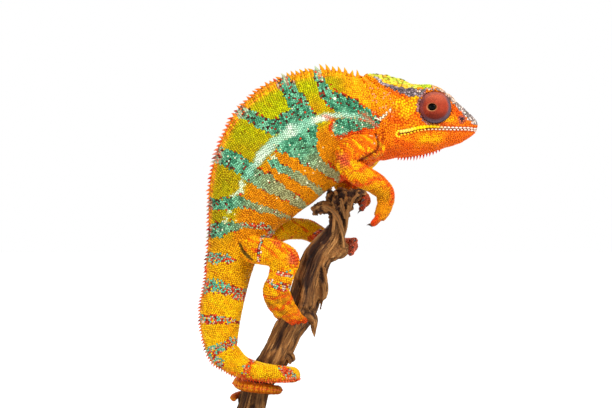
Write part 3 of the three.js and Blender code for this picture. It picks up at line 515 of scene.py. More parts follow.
REDDENED = [[(3.9, 132.5, 0.4), (8, 133.6, 0.8), (11.3, 135.6, 1)],
            [(0.4, 130, 1.6), (4.7, 127, 1), (10.3, 127.7, 0.7), (16.6, 130.4, 1.5)],
            [(18, 130, 0.8), (22.6, 124, 1), (21.4, 118.4, 0.6)], [(15.4, 112.4, 1.4), (13.4, 110.6, 1.4)],
            [(-31, 103.4, 0.3), (-27, 101.4, 0.3)], [(-24, 99, 0.5), (-19.6, 95, 0.9), (-20.6, 91.6, 0.7)],
            [(-35, 77.6, 0.8), (-30.1, 76.9, 0.5), (-25, 78.4, 1)],
            [(-31.4, 72.5, 0.9), (-25.7, 73, 0.6), (-22, 77.5, 1)],
            [(-25.7, 69.2, 0.7), (-19.6, 69.8, 0.4), (-18.2, 72.6, 0.8)],
            [(-23.6, 66.4, 1.2), (-16.6, 65.6, 1.4)], [(-2, 148.3, 0.9), (4, 150, 0.7), (14, 152, 0.6)],
            [(-45.6, 56.4, 1.4), (-43.4, 57.4, 2.2)],
            [(-39.6, 50.8, 1.6), (-41.6, 46.6, 1.6), (-42.4, 42.8, 1.4)], [(-26.8, 47, 0.8), (-24, 43, 1.6)],
            [(7.5, 159.9, 0.2), (12, 157.4, 0.4), (16.4, 153.6, 0.4)], [(7.5, 156.8, 0.2), (12, 155.6, 0.2)],
            [(-8, 157.6, 0.2), (-4.6, 156, 0.7), (-4.6, 151, 0.6)], [(-14, 103, 1.4), (-8, 105, 1.2)],
            [(-50, 44.4, 0.5), (-44, 42, 0.6), (-36, 40.8, 0.7), (-22, 40.4, 0.9)]]
CREST_LINE = [(12.8, 177.8, 0.4), (15.5, 175.2, 0.5), (18.5, 172.8, 0.6), (22, 170.9, 0.8),
              (26.5, 169.3, 1.4), (31, 168.4, 1.9), (34.4, 168.7, 1.7), (37, 169.8, 0.7)]
BROW_LINE = [(34.5, 169.3, 0.8), (38, 170, 0.5), (42, 170.1, 0.4), (45.5, 168.8, 0.5), (48.6, 166, 0.8),
             (53, 162.3, 1.4), (57, 158.9, 1.9), (60.8, 155.6, 2)]
YELLOW_CHEEK = [[(29, 161.6, 2.6), (33.4, 163.4, 1.6)], [(26.4, 158, 1.4), (28, 157.4, 1.4)],
                [(31, 165.6, 1.2), (33, 166, 0.8)], [(24.4, 163.4, 1.2), (26.5, 165, 1)],
                [(36, 147.6, 1.4), (38, 148, 1.4)], [(41.6, 147.8, 1.6), (43, 147.8, 1.4)],
                [(50, 156.6, 0.8), (47.6, 156, 0.8)], [(38, 155.6, 0.4), (46, 155.4, 0.5)]]
RED_CHEEK = [[(22.5, 156.4, 1.8), (29.5, 155.6, 1.2)], [(33.6, 158.4, 0.8), (36, 155.6, 0.8)],
             [(50.5, 161.5, 1.6), (53.6, 158.6, 1.9)],
             [(14.5, 173.6, 0.5), (19, 170.6, 0.7), (24, 168, 0.9), (30, 166.4, 0.5)],
             [(25, 146.6, 1.2), (30, 144.6, 1.4)]]


def rgb(code):
    """A colour written as #rrggbb, made linear."""
    value = np.array([int(code[k:k + 2], 16) for k in (1, 3, 5)]) / 255
    return np.where(value <= 0.04045, value / 12.92, ((value + 0.055) / 1.055) ** 2.4)


def one_colour(code, count):
    return np.tile(rgb(code), (count, 1))


def blend_to(under, over, share):
    """Runs from one colour to another, which may be a code, by a share from 0 to 1 at each point."""
    over = rgb(over) if isinstance(over, str) else over
    return under + (over - under) * np.clip(share, 0, 1)[:, None]


def layered(colour, *layers):
    """Lays colours over one another in turn. Each layer is a colour and its share at each point."""
    for over, share in layers:
        colour = blend_to(colour, over, share)
    return colour


def stroke(points, rows):
    """How far points lie outside a tapering stroke, negative inside, and its last value at the nearest
    spot."""
    rows = np.array([(*row, 0.0)[:4] for row in rows], float)
    best, value = np.full(len(points), 1e9), np.zeros(len(points))
    for a, b in zip(rows[:-1], rows[1:]):
        way = b[:2] - a[:2]
        t = np.clip((points - a[:2]) @ way / (way @ way), 0, 1)
        off = np.linalg.norm(points - a[:2] - t[:, None] * way, axis=1) - (a[2] + t * (b[2] - a[2]))
        value = np.where(off < best, a[3] + t * (b[3] - a[3]), value)
        best = np.minimum(best, off)
    return best, value


def soft_strokes(colour, side, table, edge, over, share=1):
    """Lays a colour over each stroke of a table, fading out from the edge's first distance to its second."""
    for rows in table:
        colour = blend_to(colour, over, share * (1 - step(*edge, stroke(side, rows)[0])))
    return colour


def pick(chance, *choices):
    """One of several colours for each point: each choice is a share of the chance and a colour."""
    out = one_colour(choices[-1][1], len(chance))
    for share, code in reversed(choices[:-1]):
        out[chance < share] = rgb(code)
    return out


def head_line(around):
    """Which of the head's lines an angle is at, from 0 on the ridge to 7 on the chin, on either side."""
    ring = around / (2 * math.pi) * 14
    return np.minimum(ring, 14 - ring)


def paint_ground(points, part, along, around):
    """The colours under the markings of trunk, tail, legs and toes, with painted light on the far thigh and
    painted shade on the near wrist and hand and on the far hand's toes.
    """
    x, z = points[:, 0], points[:, 2]
    down = way_down(around)
    slow, patchy = ripple(points, 9, 23), ripple(points, 4, 29)
    trunk, tail, legs, toes = part == 0, part == 1, (part >= 3) & (part < 7), part >= 7
    lime = step(-0.02, 0.03, down) * (1 - step(0.42, 0.56, down)) * step(8, -4, x) * step(98, 110, z) * trunk
    gold = np.exp(-(((x + 12) / 5) ** 2 + ((z - 162) / 5) ** 2))
    return layered(
        one_colour("#d68506", len(points)),
        ("#aa9c05", lime * (0.92 + 0.08 * slow)),
        ("#b2b404", lime * step(138, 160, z) * step(-2, -12, x)),
        ("#c88c06", lime * gold * 0.8),
        ("#c8a006", lime * step(0.3, 1, patchy) * 0.35),
        ("#f2980a", lime * step(0.07, 0.0, down)),
        ("#f8ac0a", trunk * step(-2, 8, x) * (1 - step(0.3, 0.6, down))),
        ("#f99106", trunk * step(9, 17, x)),
        ("#f46a06", trunk * step(-6, 10, x) * step(0.45, 0.75, down)),
        ("#e2a606", trunk * step(106, 96, z) * (0.75 + 0.25 * slow)),
        ("#f2bc08", tail * (0.8 + 0.2 * slow)),
        ("#f08c08", tail * step(0.2, 0.9, patchy) * 0.35),
        ("#cc4a0a", tail * step(0.49, 0.6, along) * 0.85),
        ("#f0a206", legs),
        ("#f4b406", legs * step(0.0, 0.8, slow)),
        # Painted light: the far thigh is lifted to a brighter orange where it lies in shade.
        ("#ffbe08", (part == 6) * 0.7),
        ("#e86c06", legs * step(0.2, 0.9, patchy + 0.9 * ((part == 3) & (z > 138)))),
        ("#a8700c", (part == 5) * step(81, 77, z) * step(-0.6, 0.2, patchy) * 0.8),
        # Painted shade on the near forearm's lower end and hand.
        ("#c07c06", (part == 3) * step(129, 123, z) * 0.8),
        ("#e08a08", toes),
        ("#c0480c", toes * step(0.5, 0.85, along)),
        # The far hand's reddish toes, darkened to brown by painted shade.
        ("#963c24", np.isin(part, (9, 10)) * step(0.1, 0.6, along) * (0.8 + 0.2 * patchy)),
        ("#d86a4c", (part > 12) * step(0.1, 0.6, along) * (0.8 + 0.2 * patchy)))


def paint_head(points, ring, dice):
    """Orange ground, yellow and red patches on temple and jaw, lime casque, purple-grey lateral crest, pale
    brow line and a dark nostril."""
    x, z = points[:, 0], points[:, 2]
    side = points[:, [0, 2]] + (dice[:, :2] - 0.5) * 0.7
    slow, patchy = ripple(points, 9, 23), ripple(points, 4.2, 25)
    colour = layered(
        one_colour("#f98408", len(points)),
        ("#fa9a08", step(0, 0.9, slow)),
        ("#f56c0c", step(0.1, 0.8, patchy) * 0.6),
        ("#f47012", step(45, 50, x) * 0.8),
        ("#faa606", (1 - step(17, 26, x)) * step(157, 164, z) * 0.8))
    colour = soft_strokes(colour, side, YELLOW_CHEEK, (-0.9, 1.3), "#ffb805")
    colour = soft_strokes(colour, side, RED_CHEEK, (-0.8, 1.2), "#e04608", 0.6)
    off_gape = off_line(points * [1, 0, 1], gape_line * [1, 0, 1])
    off_crest, off_brow = (stroke(side, line)[0] for line in (CREST_LINE, BROW_LINE))
    round_eye = np.abs(np.hypot(x - EYE[0], z - EYE[2]) - 7.95) < 0.6
    roof = (ring < 1.95) & (x > 11) & (off_brow > -0.1) & (x < 50)
    uneven = x + 1.8 * ripple(points, 6, 27) + 2.4 * (dice[:, 2] - 0.5)
    plates = pick(dice[:, 1], (0.3, "#c6ce3c"), (0.6, "#dfd048"), (0.85, "#e6b43c"), (0.92, "#ecd88c"),
                  (1, "#a8b030"))
    crest = pick(dice[:, 1], (0.45, "#705e62"), (0.85, "#857478"), (1, "#a8989a"))
    crest = blend_to(crest, "#c8b4b8", (1 - step(17, 23, x)) * 0.8)
    brow = blend_to(pick(dice[:, 1], (0.5, "#d8b49c"), (0.8, "#a88c80"), (1, "#e6c8ae")),
                    pick(dice[:, 1], (0.4, "#8f7c78"), (0.8, "#b09c94"), (1, "#dccabe")), step(48, 53, x))
    nostril = np.linalg.norm(points[:, [0, 2]] - NOSTRIL[[0, 2]], axis=1)
    return layered(
        colour,
        ("#f06408", step(5.6, 6.4, ring) * 0.7),
        ("#f86006", step(145.5, 141.5, z) * 0.75),
        ("#e2581a", (ring > 2.2) * np.exp(-(((x - 45) / 4) ** 2 + ((z - 154.6) / 1.1) ** 2))),
        ("#f0986c", (dice[:, 1] > 0.86) * (1 - step(20, 25, x)) * step(153, 157, z) * 0.7),
        ("#3a1408", 1 - step(0.15, 0.42, off_gape)),
        ("#a8706c", round_eye * (dice[:, 1] > 0.4) * step(43, 36, x) * (ring > 2.2)),
        (plates, roof & (uneven < 34.5) & (x > 11.5)),
        ("#eebc28", roof * (x < 32) * (x > 18) * (ring > 1.2) * (dice[:, 0] > 0.45)),
        ("#b9cc28", roof & (uneven >= 34.5) & (uneven < 41)),
        ("#e8a860", roof & (uneven >= 41)),
        ("#c9a488", roof * (uneven >= 41) * step(0.35, 0.65, dice[:, 1] + 0.3 * patchy) * 0.8),
        (crest, (off_crest < 0) & (ring > 1.0)),
        (brow, (off_brow < 0) & (ring < 3.4) | (ring < 1.2) & (x > 50)),
        ("#6b4a50", (nostril < 1.9) * (0.55 + 0.45 * (nostril < 1.1))))


def paint(points, place, dice):
    """The colour at each point, from its part and its place on the side view. dice holds three random numbers
    for each point: the first two fray the edges and pick the specks, and the third shifts the shade."""
    part, along, around = place.T
    fray = np.stack([ripple(points, 5, 21), ripple(points, 5, 22)], 1) * 0.45 + (dice[:, :2] - 0.5) * 0.9
    plain = points[:, [0, 2]]
    side = plain + fray
    x, z = plain.T
    down, head, legs = way_down(around), part == 2, (part >= 3) & (part < 7)
    slow = ripple(points, 7, 23)
    colour = paint_ground(points, part, along, around)
    colour[head] = paint_head(points, head_line(around), dice)[head]
    contrast = np.where(head, 0.2, 0.27)
    on_side = (part < 2) | head & (x < 17)
    teal = pick(dice[:, 2], (0.2, "#347858"), (0.8, "#468f69"), (1, "#62a983"))
    teal = blend_to(teal, "#7abc94", 0.75 * step(0.0, 0.9, slow))
    speck = pick(dice[:, 0], (0.6, "#481612"), (1, "#8e2c1a"))
    banded = np.zeros(len(points), bool)
    for rows in BANDS:
        off, olive = stroke(side, rows)
        inside = on_side & (off < 0)
        banded |= inside
        colour[inside] = blend_to(teal, "#a8a06a", olive * 0.9)[inside]
        contrast[inside] = 0.34
        upper, top, edge = step(0.5, 0.3, down), step(0.3, 0.05, down), step(-1.2, -0.2, off)
        often = (0.03 + 0.07 * upper + 0.16 * top + 0.08 * edge) * (1 - 0.75 * olive)
        dark = inside & (dice[:, 1] < often)
        colour[dark] = speck[dark]
        colour[inside & (dice[:, 1] > 0.985)] = rgb("#d9dcb8")
        hem = on_side & (off > 0) & (off < 0.7) & (dice[:, 1] < 0.1 + 0.5 * step(-14, 0, x))
        colour[hem] = rgb("#c23c14")
    column = np.floor(along * np.where(part == 0, 180, 240)) * 0.618 % 1
    comb = step(0.11, 0.05, down) * (part < 2)
    on_teal = pick(column, (0.34, "#a9bd96"), (0.6, "#5e1a14"), (0.8, "#c08468"), (1, "#4c9a78"))
    on_gold = pick(column, (0.3, "#a04a08"), (0.65, "#dc920c"), (1, "#f0b41c"))
    colour = layered(colour, (on_teal, comb * banded * 0.8), (on_gold, comb * ~banded * 0.6))
    flecks = ((0.3, "#5cae8c"), (0.46, "#93b494"), (0.66, "#cf4420"), (0.82, "#93261a"), (1, "#c9a888"),
              (1.16, "#e2563a"), (9, "#e6cbb2"))
    for rows in FLECKED:
        off, red = stroke(side, rows)
        inside = ((part < 2) | legs) & (off < 0.1) & (dice[:, 0] > 0.12)
        colour[inside] = pick(dice[:, 1] + 0.36 * (red - 0.5), *flecks)[inside]
    off, white = stroke(plain + fray * 0.6, STRIPE)
    core = (1 - step(-0.9, 0.7, off)) * on_side
    mint = layered(one_colour("#74c09c", len(points)), ("#94d0ac", step(-0.2, -1.5, off) * 0.8),
                   ("#eef0da", 0.88 * white**2 * step(0.3, -0.9, off)))
    colour = blend_to(colour, mint, core * 0.95)
    contrast = contrast - 0.12 * core
    reddened = (part > 2) | (x > -12) & (part == 0) | (part == 1) & (z < 60) & (dice[:, 0] < 0.75)
    red = pick(dice[:, 1], (0.7, "#e0420e"), (1, "#d2601e"))
    colour = soft_strokes(colour, side, SPOTS, (-0.5, 0.5), "#d3e2b8", on_side)
    colour = soft_strokes(colour, side, PEACHY, (-0.4, 0.4), "#fde4c4", dice[:, 2] > 0.25)
    colour = soft_strokes(colour, side, ROSY, (-1, 1.6), "#cc4a30", (part > 2) * 0.9)
    colour = soft_strokes(colour, side, REDDENED, (-0.8, 0.9), red, reddened * 0.9)
    # Painted shade darkens the folds at the neck, armpit and hip.
    fold_shade = ((part == 0) | head | (part == 3) | (part == 5)) * 0.85
    for rows, code in zip(FOLDS, ("#5e1e0a", "#a8400c", "#46421c")):
        colour = soft_strokes(colour, plain, [rows], (-0.2, 0.7), code, fold_shade)
    pale = (part == 0) & (dice[:, 1] > 0.975) & (dice[:, 0] > 0.6) & (down > 0.35)
    colour = blend_to(colour, "#f6e2a0", pale * 0.5)
    return np.clip(colour * (1 + contrast[:, None] * (2 * dice[:, 2:3] - 1)), 0, 1)


def tile_place(place):
    """The map that the coat's colours are kept on: the animal's hide opened flat along the back or the
    inner side of each part and laid out at 0.0036 for each millimetre. Trunk and head open to the share
    of the way down."""
    part, along, around = place.T
    down = way_down(around) * np.where(np.sin(around) < 0, -1, 1)
    turn = around / (2 * math.pi)
    limb = np.clip(part - 3, 0, 3)
    toe = np.clip(part - 7, 0, 7)
    u = np.select([part == 0, part == 1, part == 2, part < 7],
                  [0.01 + 0.6 * along / 0.86, 0.01 + 0.86 * along, 0.65 + 0.24 * along,
                   0.01 + 0.2 * limb + 0.18 * along],
                  0.01 + 0.12 * toe + 0.1 * along)
    v = np.select([part == 0, part == 1, part == 2, part < 7],
                  [0.22 + 0.21 * down, 0.45 + 0.16 * turn, 0.01 + 0.4 * turn, 0.64 + 0.14 * turn],
                  0.8 + 0.1 * turn)
    return np.stack([u, v], 1)


# ---- The skin's finish -------------------------------------------------------------------------------
# Soft skin shows only between the scales: the same markings, duller and darkened by painted shade in the
# grooves. The scales use the same finish with its own values: satin, with a fine grain in the gloss and the
# shade.
def feed(tree, socket, value):
    """Gives a socket its value: a constant, or what another socket holds."""
    if isinstance(value, bpy.types.NodeSocket):
        tree.links.new(value, socket)
    else:
        socket.default_value = value


def new_material(name):
    material = bpy.data.materials.new(name)
    material.use_nodes = True
    return material, material.node_tree, material.node_tree.nodes["Principled BSDF"]


def noise_of(tree, where, scale, detail, roughness=0.5):
    noise = tree.nodes.new("ShaderNodeTexNoise")
    for socket, value in (("Vector", where), ("Scale", scale), ("Detail", detail), ("Roughness", roughness)):
        feed(tree, noise.inputs[socket], value)
    return noise.outputs["Fac"]


def worked(tree, operation, first, second):
    """Two values worked together by a math node."""
    node = tree.nodes.new("ShaderNodeMath")
    node.operation = operation
    feed(tree, node.inputs[0], first)
    feed(tree, node.inputs[1], second)
    return node.outputs[0]


def kept_values(tree, name, output):
    """What a piece keeps at its points under a name."""
    node = tree.nodes.new("ShaderNodeAttribute")
    node.attribute_name = name
    return node.outputs[output]


def dent_normal(tree, height, strength, distance):
    """Turns the shader's normal by the slope of a height."""
    dent = tree.nodes.new("ShaderNodeBump")
    for socket, value in (("Height", height), ("Strength", strength), ("Distance", distance)):
        feed(tree, dent.inputs[socket], value)
    feed(tree, tree.nodes["Principled BSDF"].inputs["Normal"], dent.outputs["Normal"])


def hide_finish():
    """Group: with a swing of (noise - 0.5) x mottle, the colour is tint x (1 + swing), the roughness is
    dull + swing, and the height is the noise itself, read at Object coordinates."""
    group = bpy.data.node_groups.new("hide_finish", "ShaderNodeTree")
    for name, way, kind in (("Tint", "INPUT", "Color"), ("Mottle", "INPUT", "Float"),
                            ("Grain per metre", "INPUT", "Float"), ("Dull", "INPUT", "Float"),
                            ("Colour", "OUTPUT", "Color"), ("Roughness", "OUTPUT", "Float"),
                            ("Height", "OUTPUT", "Float")):
        group.interface.new_socket(name=name, in_out=way, socket_type="NodeSocket" + kind)
    given, made = group.nodes.new("NodeGroupInput"), group.nodes.new("NodeGroupOutput")
    where = group.nodes.new("ShaderNodeTexCoord").outputs["Object"]
    noise = noise_of(group, where, given.outputs["Grain per metre"], 3)
    swing = worked(group, "MULTIPLY", worked(group, "SUBTRACT", noise, 0.5), given.outputs["Mottle"])
    shade = group.nodes.new("ShaderNodeVectorMath")
    shade.operation = "SCALE"
    feed(group, shade.inputs[0], given.outputs["Tint"])
    feed(group, shade.inputs["Scale"], worked(group, "ADD", swing, 1.0))
    feed(group, made.inputs["Colour"], shade.outputs[0])
    feed(group, made.inputs["Roughness"], worked(group, "ADD", swing, given.outputs["Dull"]))
    feed(group, made.inputs["Height"], noise)
    return group


hide_group = hide_finish()


def hide_material(name, mottle, grain, dull, bump, coat=0.0):
    """A material whose colour is the piece's own tint, put through the hide finish."""
    material, tree, shader = new_material(name)
    finish = tree.nodes.new("ShaderNodeGroup")
    finish.node_tree = hide_group
    for socket, value in (("Tint", kept_values(tree, "tint", "Color")), ("Mottle", mottle),
                          ("Grain per metre", grain), ("Dull", dull)):
        feed(tree, finish.inputs[socket], value)
    for socket, value in (("Base Color", finish.outputs["Colour"]),
                          ("Roughness", finish.outputs["Roughness"]), ("Specular IOR Level", 0.06),
                          ("Coat Weight", coat), ("Coat Roughness", 0.35)):
        feed(tree, shader.inputs[socket], value)
    dent_normal(tree, finish.outputs["Height"], 0.42, bump)
    return material


rng = np.random.default_rng(11)
body_place = places(body)
skin_dice = np.full((len(body), 3), 0.5)
skin_tint = paint(body, body_place, skin_dice)
# Painted shade: the skin's markings are darkened by warm factors where they are orange and by cool ones where
# they are blue-green.
cool = np.clip(skin_tint[:, 2:] * 4, 0, 1)
warm_shade, cool_shade = np.array([0.5, 0.34, 0.28]), np.array([0.3, 0.36, 0.34])
keep_tint(skin.data, skin_tint * (warm_shade * (1 - cool) + cool_shade * cool))
skin.data.materials.append(hide_material("skin_between_scales", mottle=0.5, grain=2500, dull=0.6,
                                         bump=0.0003))
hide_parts("head", "lower_jaw", "neck", "trunk", "tail_base", "tail_turn", "tail_first_loop",
            "tail_second_loop", "tail_tip",
            *(f"{limb}_{side}" for side in ("right", "left")
              for limb in ("upper_arm", "forearm", "hand", "thigh", "shin", "foot")))

# ---- The coat of scales ------------------------------------------------------------------------------
# Horny scales cover the skin: domes about a millimetre across with larger ones among them, broad plates on
# the casque, small beads on throat, toes and tail tip. They lie in rows, or scattered on the head and in
# gaps, thinned to the room each needs and pushed apart, and their rims are sunk in the skin.
skin_tree = BVHTree.FromObject(skin, bpy.context.evaluated_depsgraph_get())


def onto_skin(points):
    """The nearest places on the skin, and its normals there."""
    hits = [skin_tree.find_nearest(p) for p in (points * MM).tolist()]
    return np.array([hit[0] for hit in hits]) / MM, np.array([hit[1] for hit in hits])


def room_at(points, place):
    """The spacing of the scales, in millimetres, by part and place."""
    part, along, around = place.T
    ring = head_line(around)
    x = points[:, 0]
    room = np.full(len(points), 0.86)
    room = np.where((part == 0) & (np.cos(around) < -0.6), 0.78, room)
    room = np.where(part == 1, 0.86 - 0.34 * along, room)
    room = np.where((part >= 3) & (part < 7), 0.92, room)
    room = np.where(part >= 7, 0.7, room)
    head = part == 2
    room = np.where(head, 0.84, room)
    room = np.where(head & (ring > 2.2) & (ring < 4.4) & (x > 23) & (x < 36), 1.12, room)
    room = np.where(head & (ring < 1.8) & (x < 34), 1.75, room)
    room = np.where(head & (ring < 1.8) & (x >= 34) & (x < 50), 1.1, room)
    return np.where(head & (ring > 5.6), 0.72, room)


def close_pairs(points, reach):
    """Pairs of points nearer than reach: points are sorted into cubes of that size, and each is matched with
    those in its own cube and in the 13 neighbouring cubes ahead of it."""
    cube = np.floor((points - points.min(0)) / reach).astype(np.int64) + 1
    size = cube.max(0) + 2
    key = (cube[:, 0] * size[1] + cube[:, 1]) * size[2] + cube[:, 2]
    order = np.argsort(key, kind="stable")
    key = key[order]
    first, second = [], []
    for ahead in np.ndindex(3, 3, 3):
        shift = ((ahead[0] - 1) * size[1] + ahead[1] - 1) * size[2] + ahead[2] - 1
        if shift < 0:
            continue
        start = np.searchsorted(key, key + shift, "left") if shift else np.arange(len(key)) + 1
        count = np.maximum(np.searchsorted(key, key + shift, "right") - start, 0)
        own = np.repeat(np.arange(len(key)), count)
        first.append(order[own])
        second.append(order[start[own] + np.arange(len(own)) - np.repeat(np.cumsum(count) - count, count)])
    first, second = np.concatenate(first), np.concatenate(second)
    near = ((points[first] - points[second]) ** 2).sum(1) < reach * reach
    return first[near], second[near]


def thinned(points, room, lot):
    """Keeps points so that no two are nearer than their mean room: a point stays if its lot is the highest
    among the neighbours that are still undecided, and its neighbours go."""
    i, j = close_pairs(points, room.max())
    near = ((points[i] - points[j]) ** 2).sum(1) < (0.5 * (room[i] + room[j])) ** 2
    i, j = i[near], j[near]
    state = np.zeros(len(points), int)
    while (state == 0).any():
        open_pair = (state[i] == 0) & (state[j] == 0)
        i, j = i[open_pair], j[open_pair]
        beaten = np.zeros(len(points), bool)
        beaten[np.where(lot[i] < lot[j], i, j)] = True
        state[(state == 0) & ~beaten] = 1
        state[j[state[i] == 1]] = -1
        state[i[state[j] == 1]] = -1
    return state == 1


def scattered(quads, weights, count):
    """Random places on the quads, each quad drawn in step with its weight, and the quad that each is on."""
    chosen = np.searchsorted(np.cumsum(weights) / weights.sum(), rng.random(count))
    u, v = rng.random((2, count, 1))
    a, b, c, d = (body[quads[chosen, k]] for k in range(4))
    return (a * (1 - u) + b * u) * (1 - v) + (d * (1 - u) + c * u) * v, chosen


def in_rows(form, start, stop, room):
    """Places in rows across a tube, as a reptile's scales lie. The rows are 0.87 of the room apart by the
    mean length of the tube. In each the places are spread evenly around, and every other row is shifted
    by half a space. With them go the way along the tube and the local spacing, the root of the area for
    each place."""
    fine = np.linspace(start, stop, 900)
    around = np.linspace(0, 2 * math.pi, 241)
    grid = form(fine, around)
    pitch = 0.87 * np.interp(fine, np.linspace(start, stop, len(room)), room)
    length = np.linalg.norm(np.diff(grid, axis=0), axis=2).mean(1)
    row = np.concatenate([[0], np.cumsum(length / pitch[1:])])
    share = np.interp(np.arange(0.5, row[-1]), row, fine)
    pitch = np.interp(share, fine, pitch)
    grid = form(share, around)
    ways = np.gradient(grid, axis=0)
    reach = np.pad(np.cumsum(np.linalg.norm(np.diff(grid, axis=1), axis=2), 1), ((0, 0), (1, 0)))
    count = np.maximum(4, np.round(reach[:, -1] / (pitch / 0.87))).astype(int)
    own = np.repeat(np.arange(len(share)), count)
    number = np.arange(len(own)) - np.repeat(np.cumsum(count) - count, count)
    at = (number + 0.5 * (own % 2) + 0.16 * (rng.random(len(own)) - 0.5)) / count[own] % 1 * reach[own, -1]
    apart = reach.max() + 1
    marks = (reach + np.arange(len(share))[:, None] * apart).ravel()
    spot = np.searchsorted(marks, at + own * apart, "right") - 1
    spot = np.clip(spot - own * 241, 0, 239)
    part_way = ((at - reach[own, spot]) / np.maximum(reach[own, spot + 1] - reach[own, spot], 1e-9))[:, None]
    found = grid[own, spot] * (1 - part_way) + grid[own, spot + 1] * part_way
    way = ways[own, spot]
    space = np.sqrt(np.linalg.norm(way, axis=1) * reach[own, -1] / count[own] / 0.87)
    return found, way, space


laid = [in_rows(trunk_form, 0, TRUNK_END, [0.92, 0.92]),
        in_rows(tail_form, 0.02, 0.97, [0.92, 0.8, 0.62, 0.5])]
for rows, bundles in LEGS.values():
    laid.append(in_rows(lambda a, r: round_form(rows, a, r), 0, 1, [0.92, 0.92, 0.8]))
    for path, *_ in bundles:
        laid.append(in_rows(lambda a, r: round_form(path, a, r, 0.12), 0.1, 0.95, [0.72, 0.66]))
laid, laid_way, laid_room = (np.concatenate(column) for column in zip(*laid))
laid_room = np.clip(laid_room, 0.5, 1.2)
waver = np.stack([ripple(laid, 6, seed) for seed in (61, 62, 63)], 1)
laid += 0.32 * waver * np.minimum(laid_room, 1)[:, None]
on_skin, _ = onto_skin(laid)
keep = np.linalg.norm(on_skin - laid, axis=1) < 1.1
laid, laid_way, laid_room = on_skin[keep], laid_way[keep], laid_room[keep]
large = rng.random(len(laid))
laid_room = laid_room * np.select([large < 0.008, large < 0.08], [1.5, 1.2], 1) ** (laid_room > 0.65)
large = large < 0.008

centres = body[body_quads].mean(1)
quad_room = room_at(centres, body_place[body_quads[:, 0]])
quad_area = np.linalg.norm(np.cross(body[body_quads[:, 2]] - body[body_quads[:, 0]],
                                    body[body_quads[:, 3]] - body[body_quads[:, 1]]), axis=1) / 2
batches = []  # places, the way along the body, room, closeness at which one is dropped, lot
for low, high, crowd in ((1.25, 9, 14), (0, 1.25, 6)):
    here = (quad_room > low) & (quad_room <= high)
    weight = quad_area[here] / quad_room[here] ** 2
    found, chosen = scattered(body_quads[here], weight, int(weight.sum() * crowd))
    way = rng.normal(size=(len(found), 3))
    batches.append((found, way, quad_room[here][chosen], 0.8, rng.random(len(found))))
batches.insert(1, (laid, laid_way, laid_room, 0.74, rng.random(len(laid)) + large))
roots, ways, rooms = np.empty((0, 3)), np.empty((0, 3)), np.empty(0)
for found, way, room, close, lot in batches:
    keep = thinned(found, room * close, lot)
    found, way, room = found[keep], way[keep], room[keep]
    both, both_room = np.concatenate([roots, found]), np.concatenate([rooms, room])
    i, j = close_pairs(both, both_room.max())
    clash = np.linalg.norm(both[i] - both[j], axis=1) < 0.5 * (both_room[i] + both_room[j]) * close
    late = np.maximum(i, j)[clash & (np.minimum(i, j) < len(roots))]
    free = np.ones(len(both), bool)
    free[late[late >= len(roots)]] = False
    free = free[len(roots):]
    roots, ways, rooms = (np.concatenate([kept, new[free]])
                          for kept, new in ((roots, found), (ways, way), (rooms, room)))
for _ in range(6):
    i, j = close_pairs(roots, rooms.max() * 0.8)
    gap = roots[i] - roots[j]
    length = np.linalg.norm(gap, axis=1)
    want = 0.5 * (rooms[i] + rooms[j])
    push = (0.3 * np.maximum(want - length, 0) / np.maximum(length, 1e-6))[:, None] * gap
    roots = roots + np.stack([np.bincount(i, push[:, k], len(roots)) - np.bincount(j, push[:, k], len(roots))
                              for k in range(3)], 1)
    roots, root_normals = onto_skin(roots)
root_place = places(roots)


def clear_of_features(points):
    """Leaves room for the eyes, the lips and the nostrils."""
    mirrored = on_left(points)
    head = (points[:, 0] > 22) & (points[:, 2] > 140)
    eye = (np.hypot(points[:, 0] - EYE[0], points[:, 2] - EYE[2]) < 7.05) & (mirrored[:, 1] > 3)
    lips = off_line(mirrored, gape_line) < 1.45
    nostril = np.linalg.norm(mirrored - NOSTRIL, axis=1) < 0.8
    return ~(head & (eye | lips | nostril))


keep = clear_of_features(roots)
roots, root_normals, root_place = roots[keep], root_normals[keep], root_place[keep]
rooms, ways = rooms[keep], ways[keep]
ways = unit(ways - (ways * root_normals).sum(1, keepdims=True) * root_normals)


def domes(name, roots, normals, along, radius, height, tint, patch, sides=6, squeeze=None):
    """Low domes: a rim sunk in the skin, a shoulder ring and a crown, each with its first corner towards the
    way along, and squeezed across it. The tint is darkened by painted shade towards the rim and lightened by
    a painted highlight on the crown."""
    count = len(roots)
    turn = (rng.random(count)[:, None] - 0.5) * 0.5 + np.arange(sides) * 2 * math.pi / sides
    over = np.cross(normals, along) * (1 if squeeze is None else squeeze[:, None])
    wobble = 1 + 0.14 * (rng.random((count, sides)) - 0.5)
    cos, sin = (np.cos(turn) * wobble)[..., None], (np.sin(turn) * wobble)[..., None]
    circle = cos * along[:, None] + sin * over[:, None]
    r, h, n = np.reshape(radius, (-1, 1, 1)), np.reshape(height, (-1, 1, 1)), normals[:, None]
    rim = roots[:, None] + circle * r - n * h * 0.5
    shoulder = roots[:, None] + circle * r * 0.76 + n * h * 0.62
    top = roots[:, None] + n * h
    points = np.concatenate([rim, shoulder, top], 1).reshape(-1, 3)
    # Painted shade at the sunk rim and a painted highlight on the crown.
    shades = np.concatenate([np.full(sides, 0.32), np.full(sides, 0.93), [1.16]])
    tints = (tint[:, None] * shades[:, None]).reshape(-1, 3)
    spread = np.concatenate([np.full(sides, 1.0), np.full(sides, 0.6), [0.0]])[:, None]
    flat_turn = np.concatenate([np.arange(sides), np.arange(sides), [0]]) * 2 * math.pi / sides
    star = np.stack([np.cos(flat_turn), np.sin(flat_turn)], 1) * spread * 0.0015
    patches = (patch[:, None] + star).reshape(-1, 2)
    k = np.arange(sides)
    nxt = (k + 1) % sides
    shift = (np.arange(count) * (2 * sides + 1))[:, None, None]
    wall = (np.stack([k, nxt, nxt + sides, k + sides], 1)[None] + shift).reshape(-1, 4)
    cap = (np.stack([k + sides, nxt + sides, np.full(sides, 2 * sides)], 1)[None] + shift).reshape(-1, 3)
    return put_mesh(name, points, [wall, cap], tints, patches)


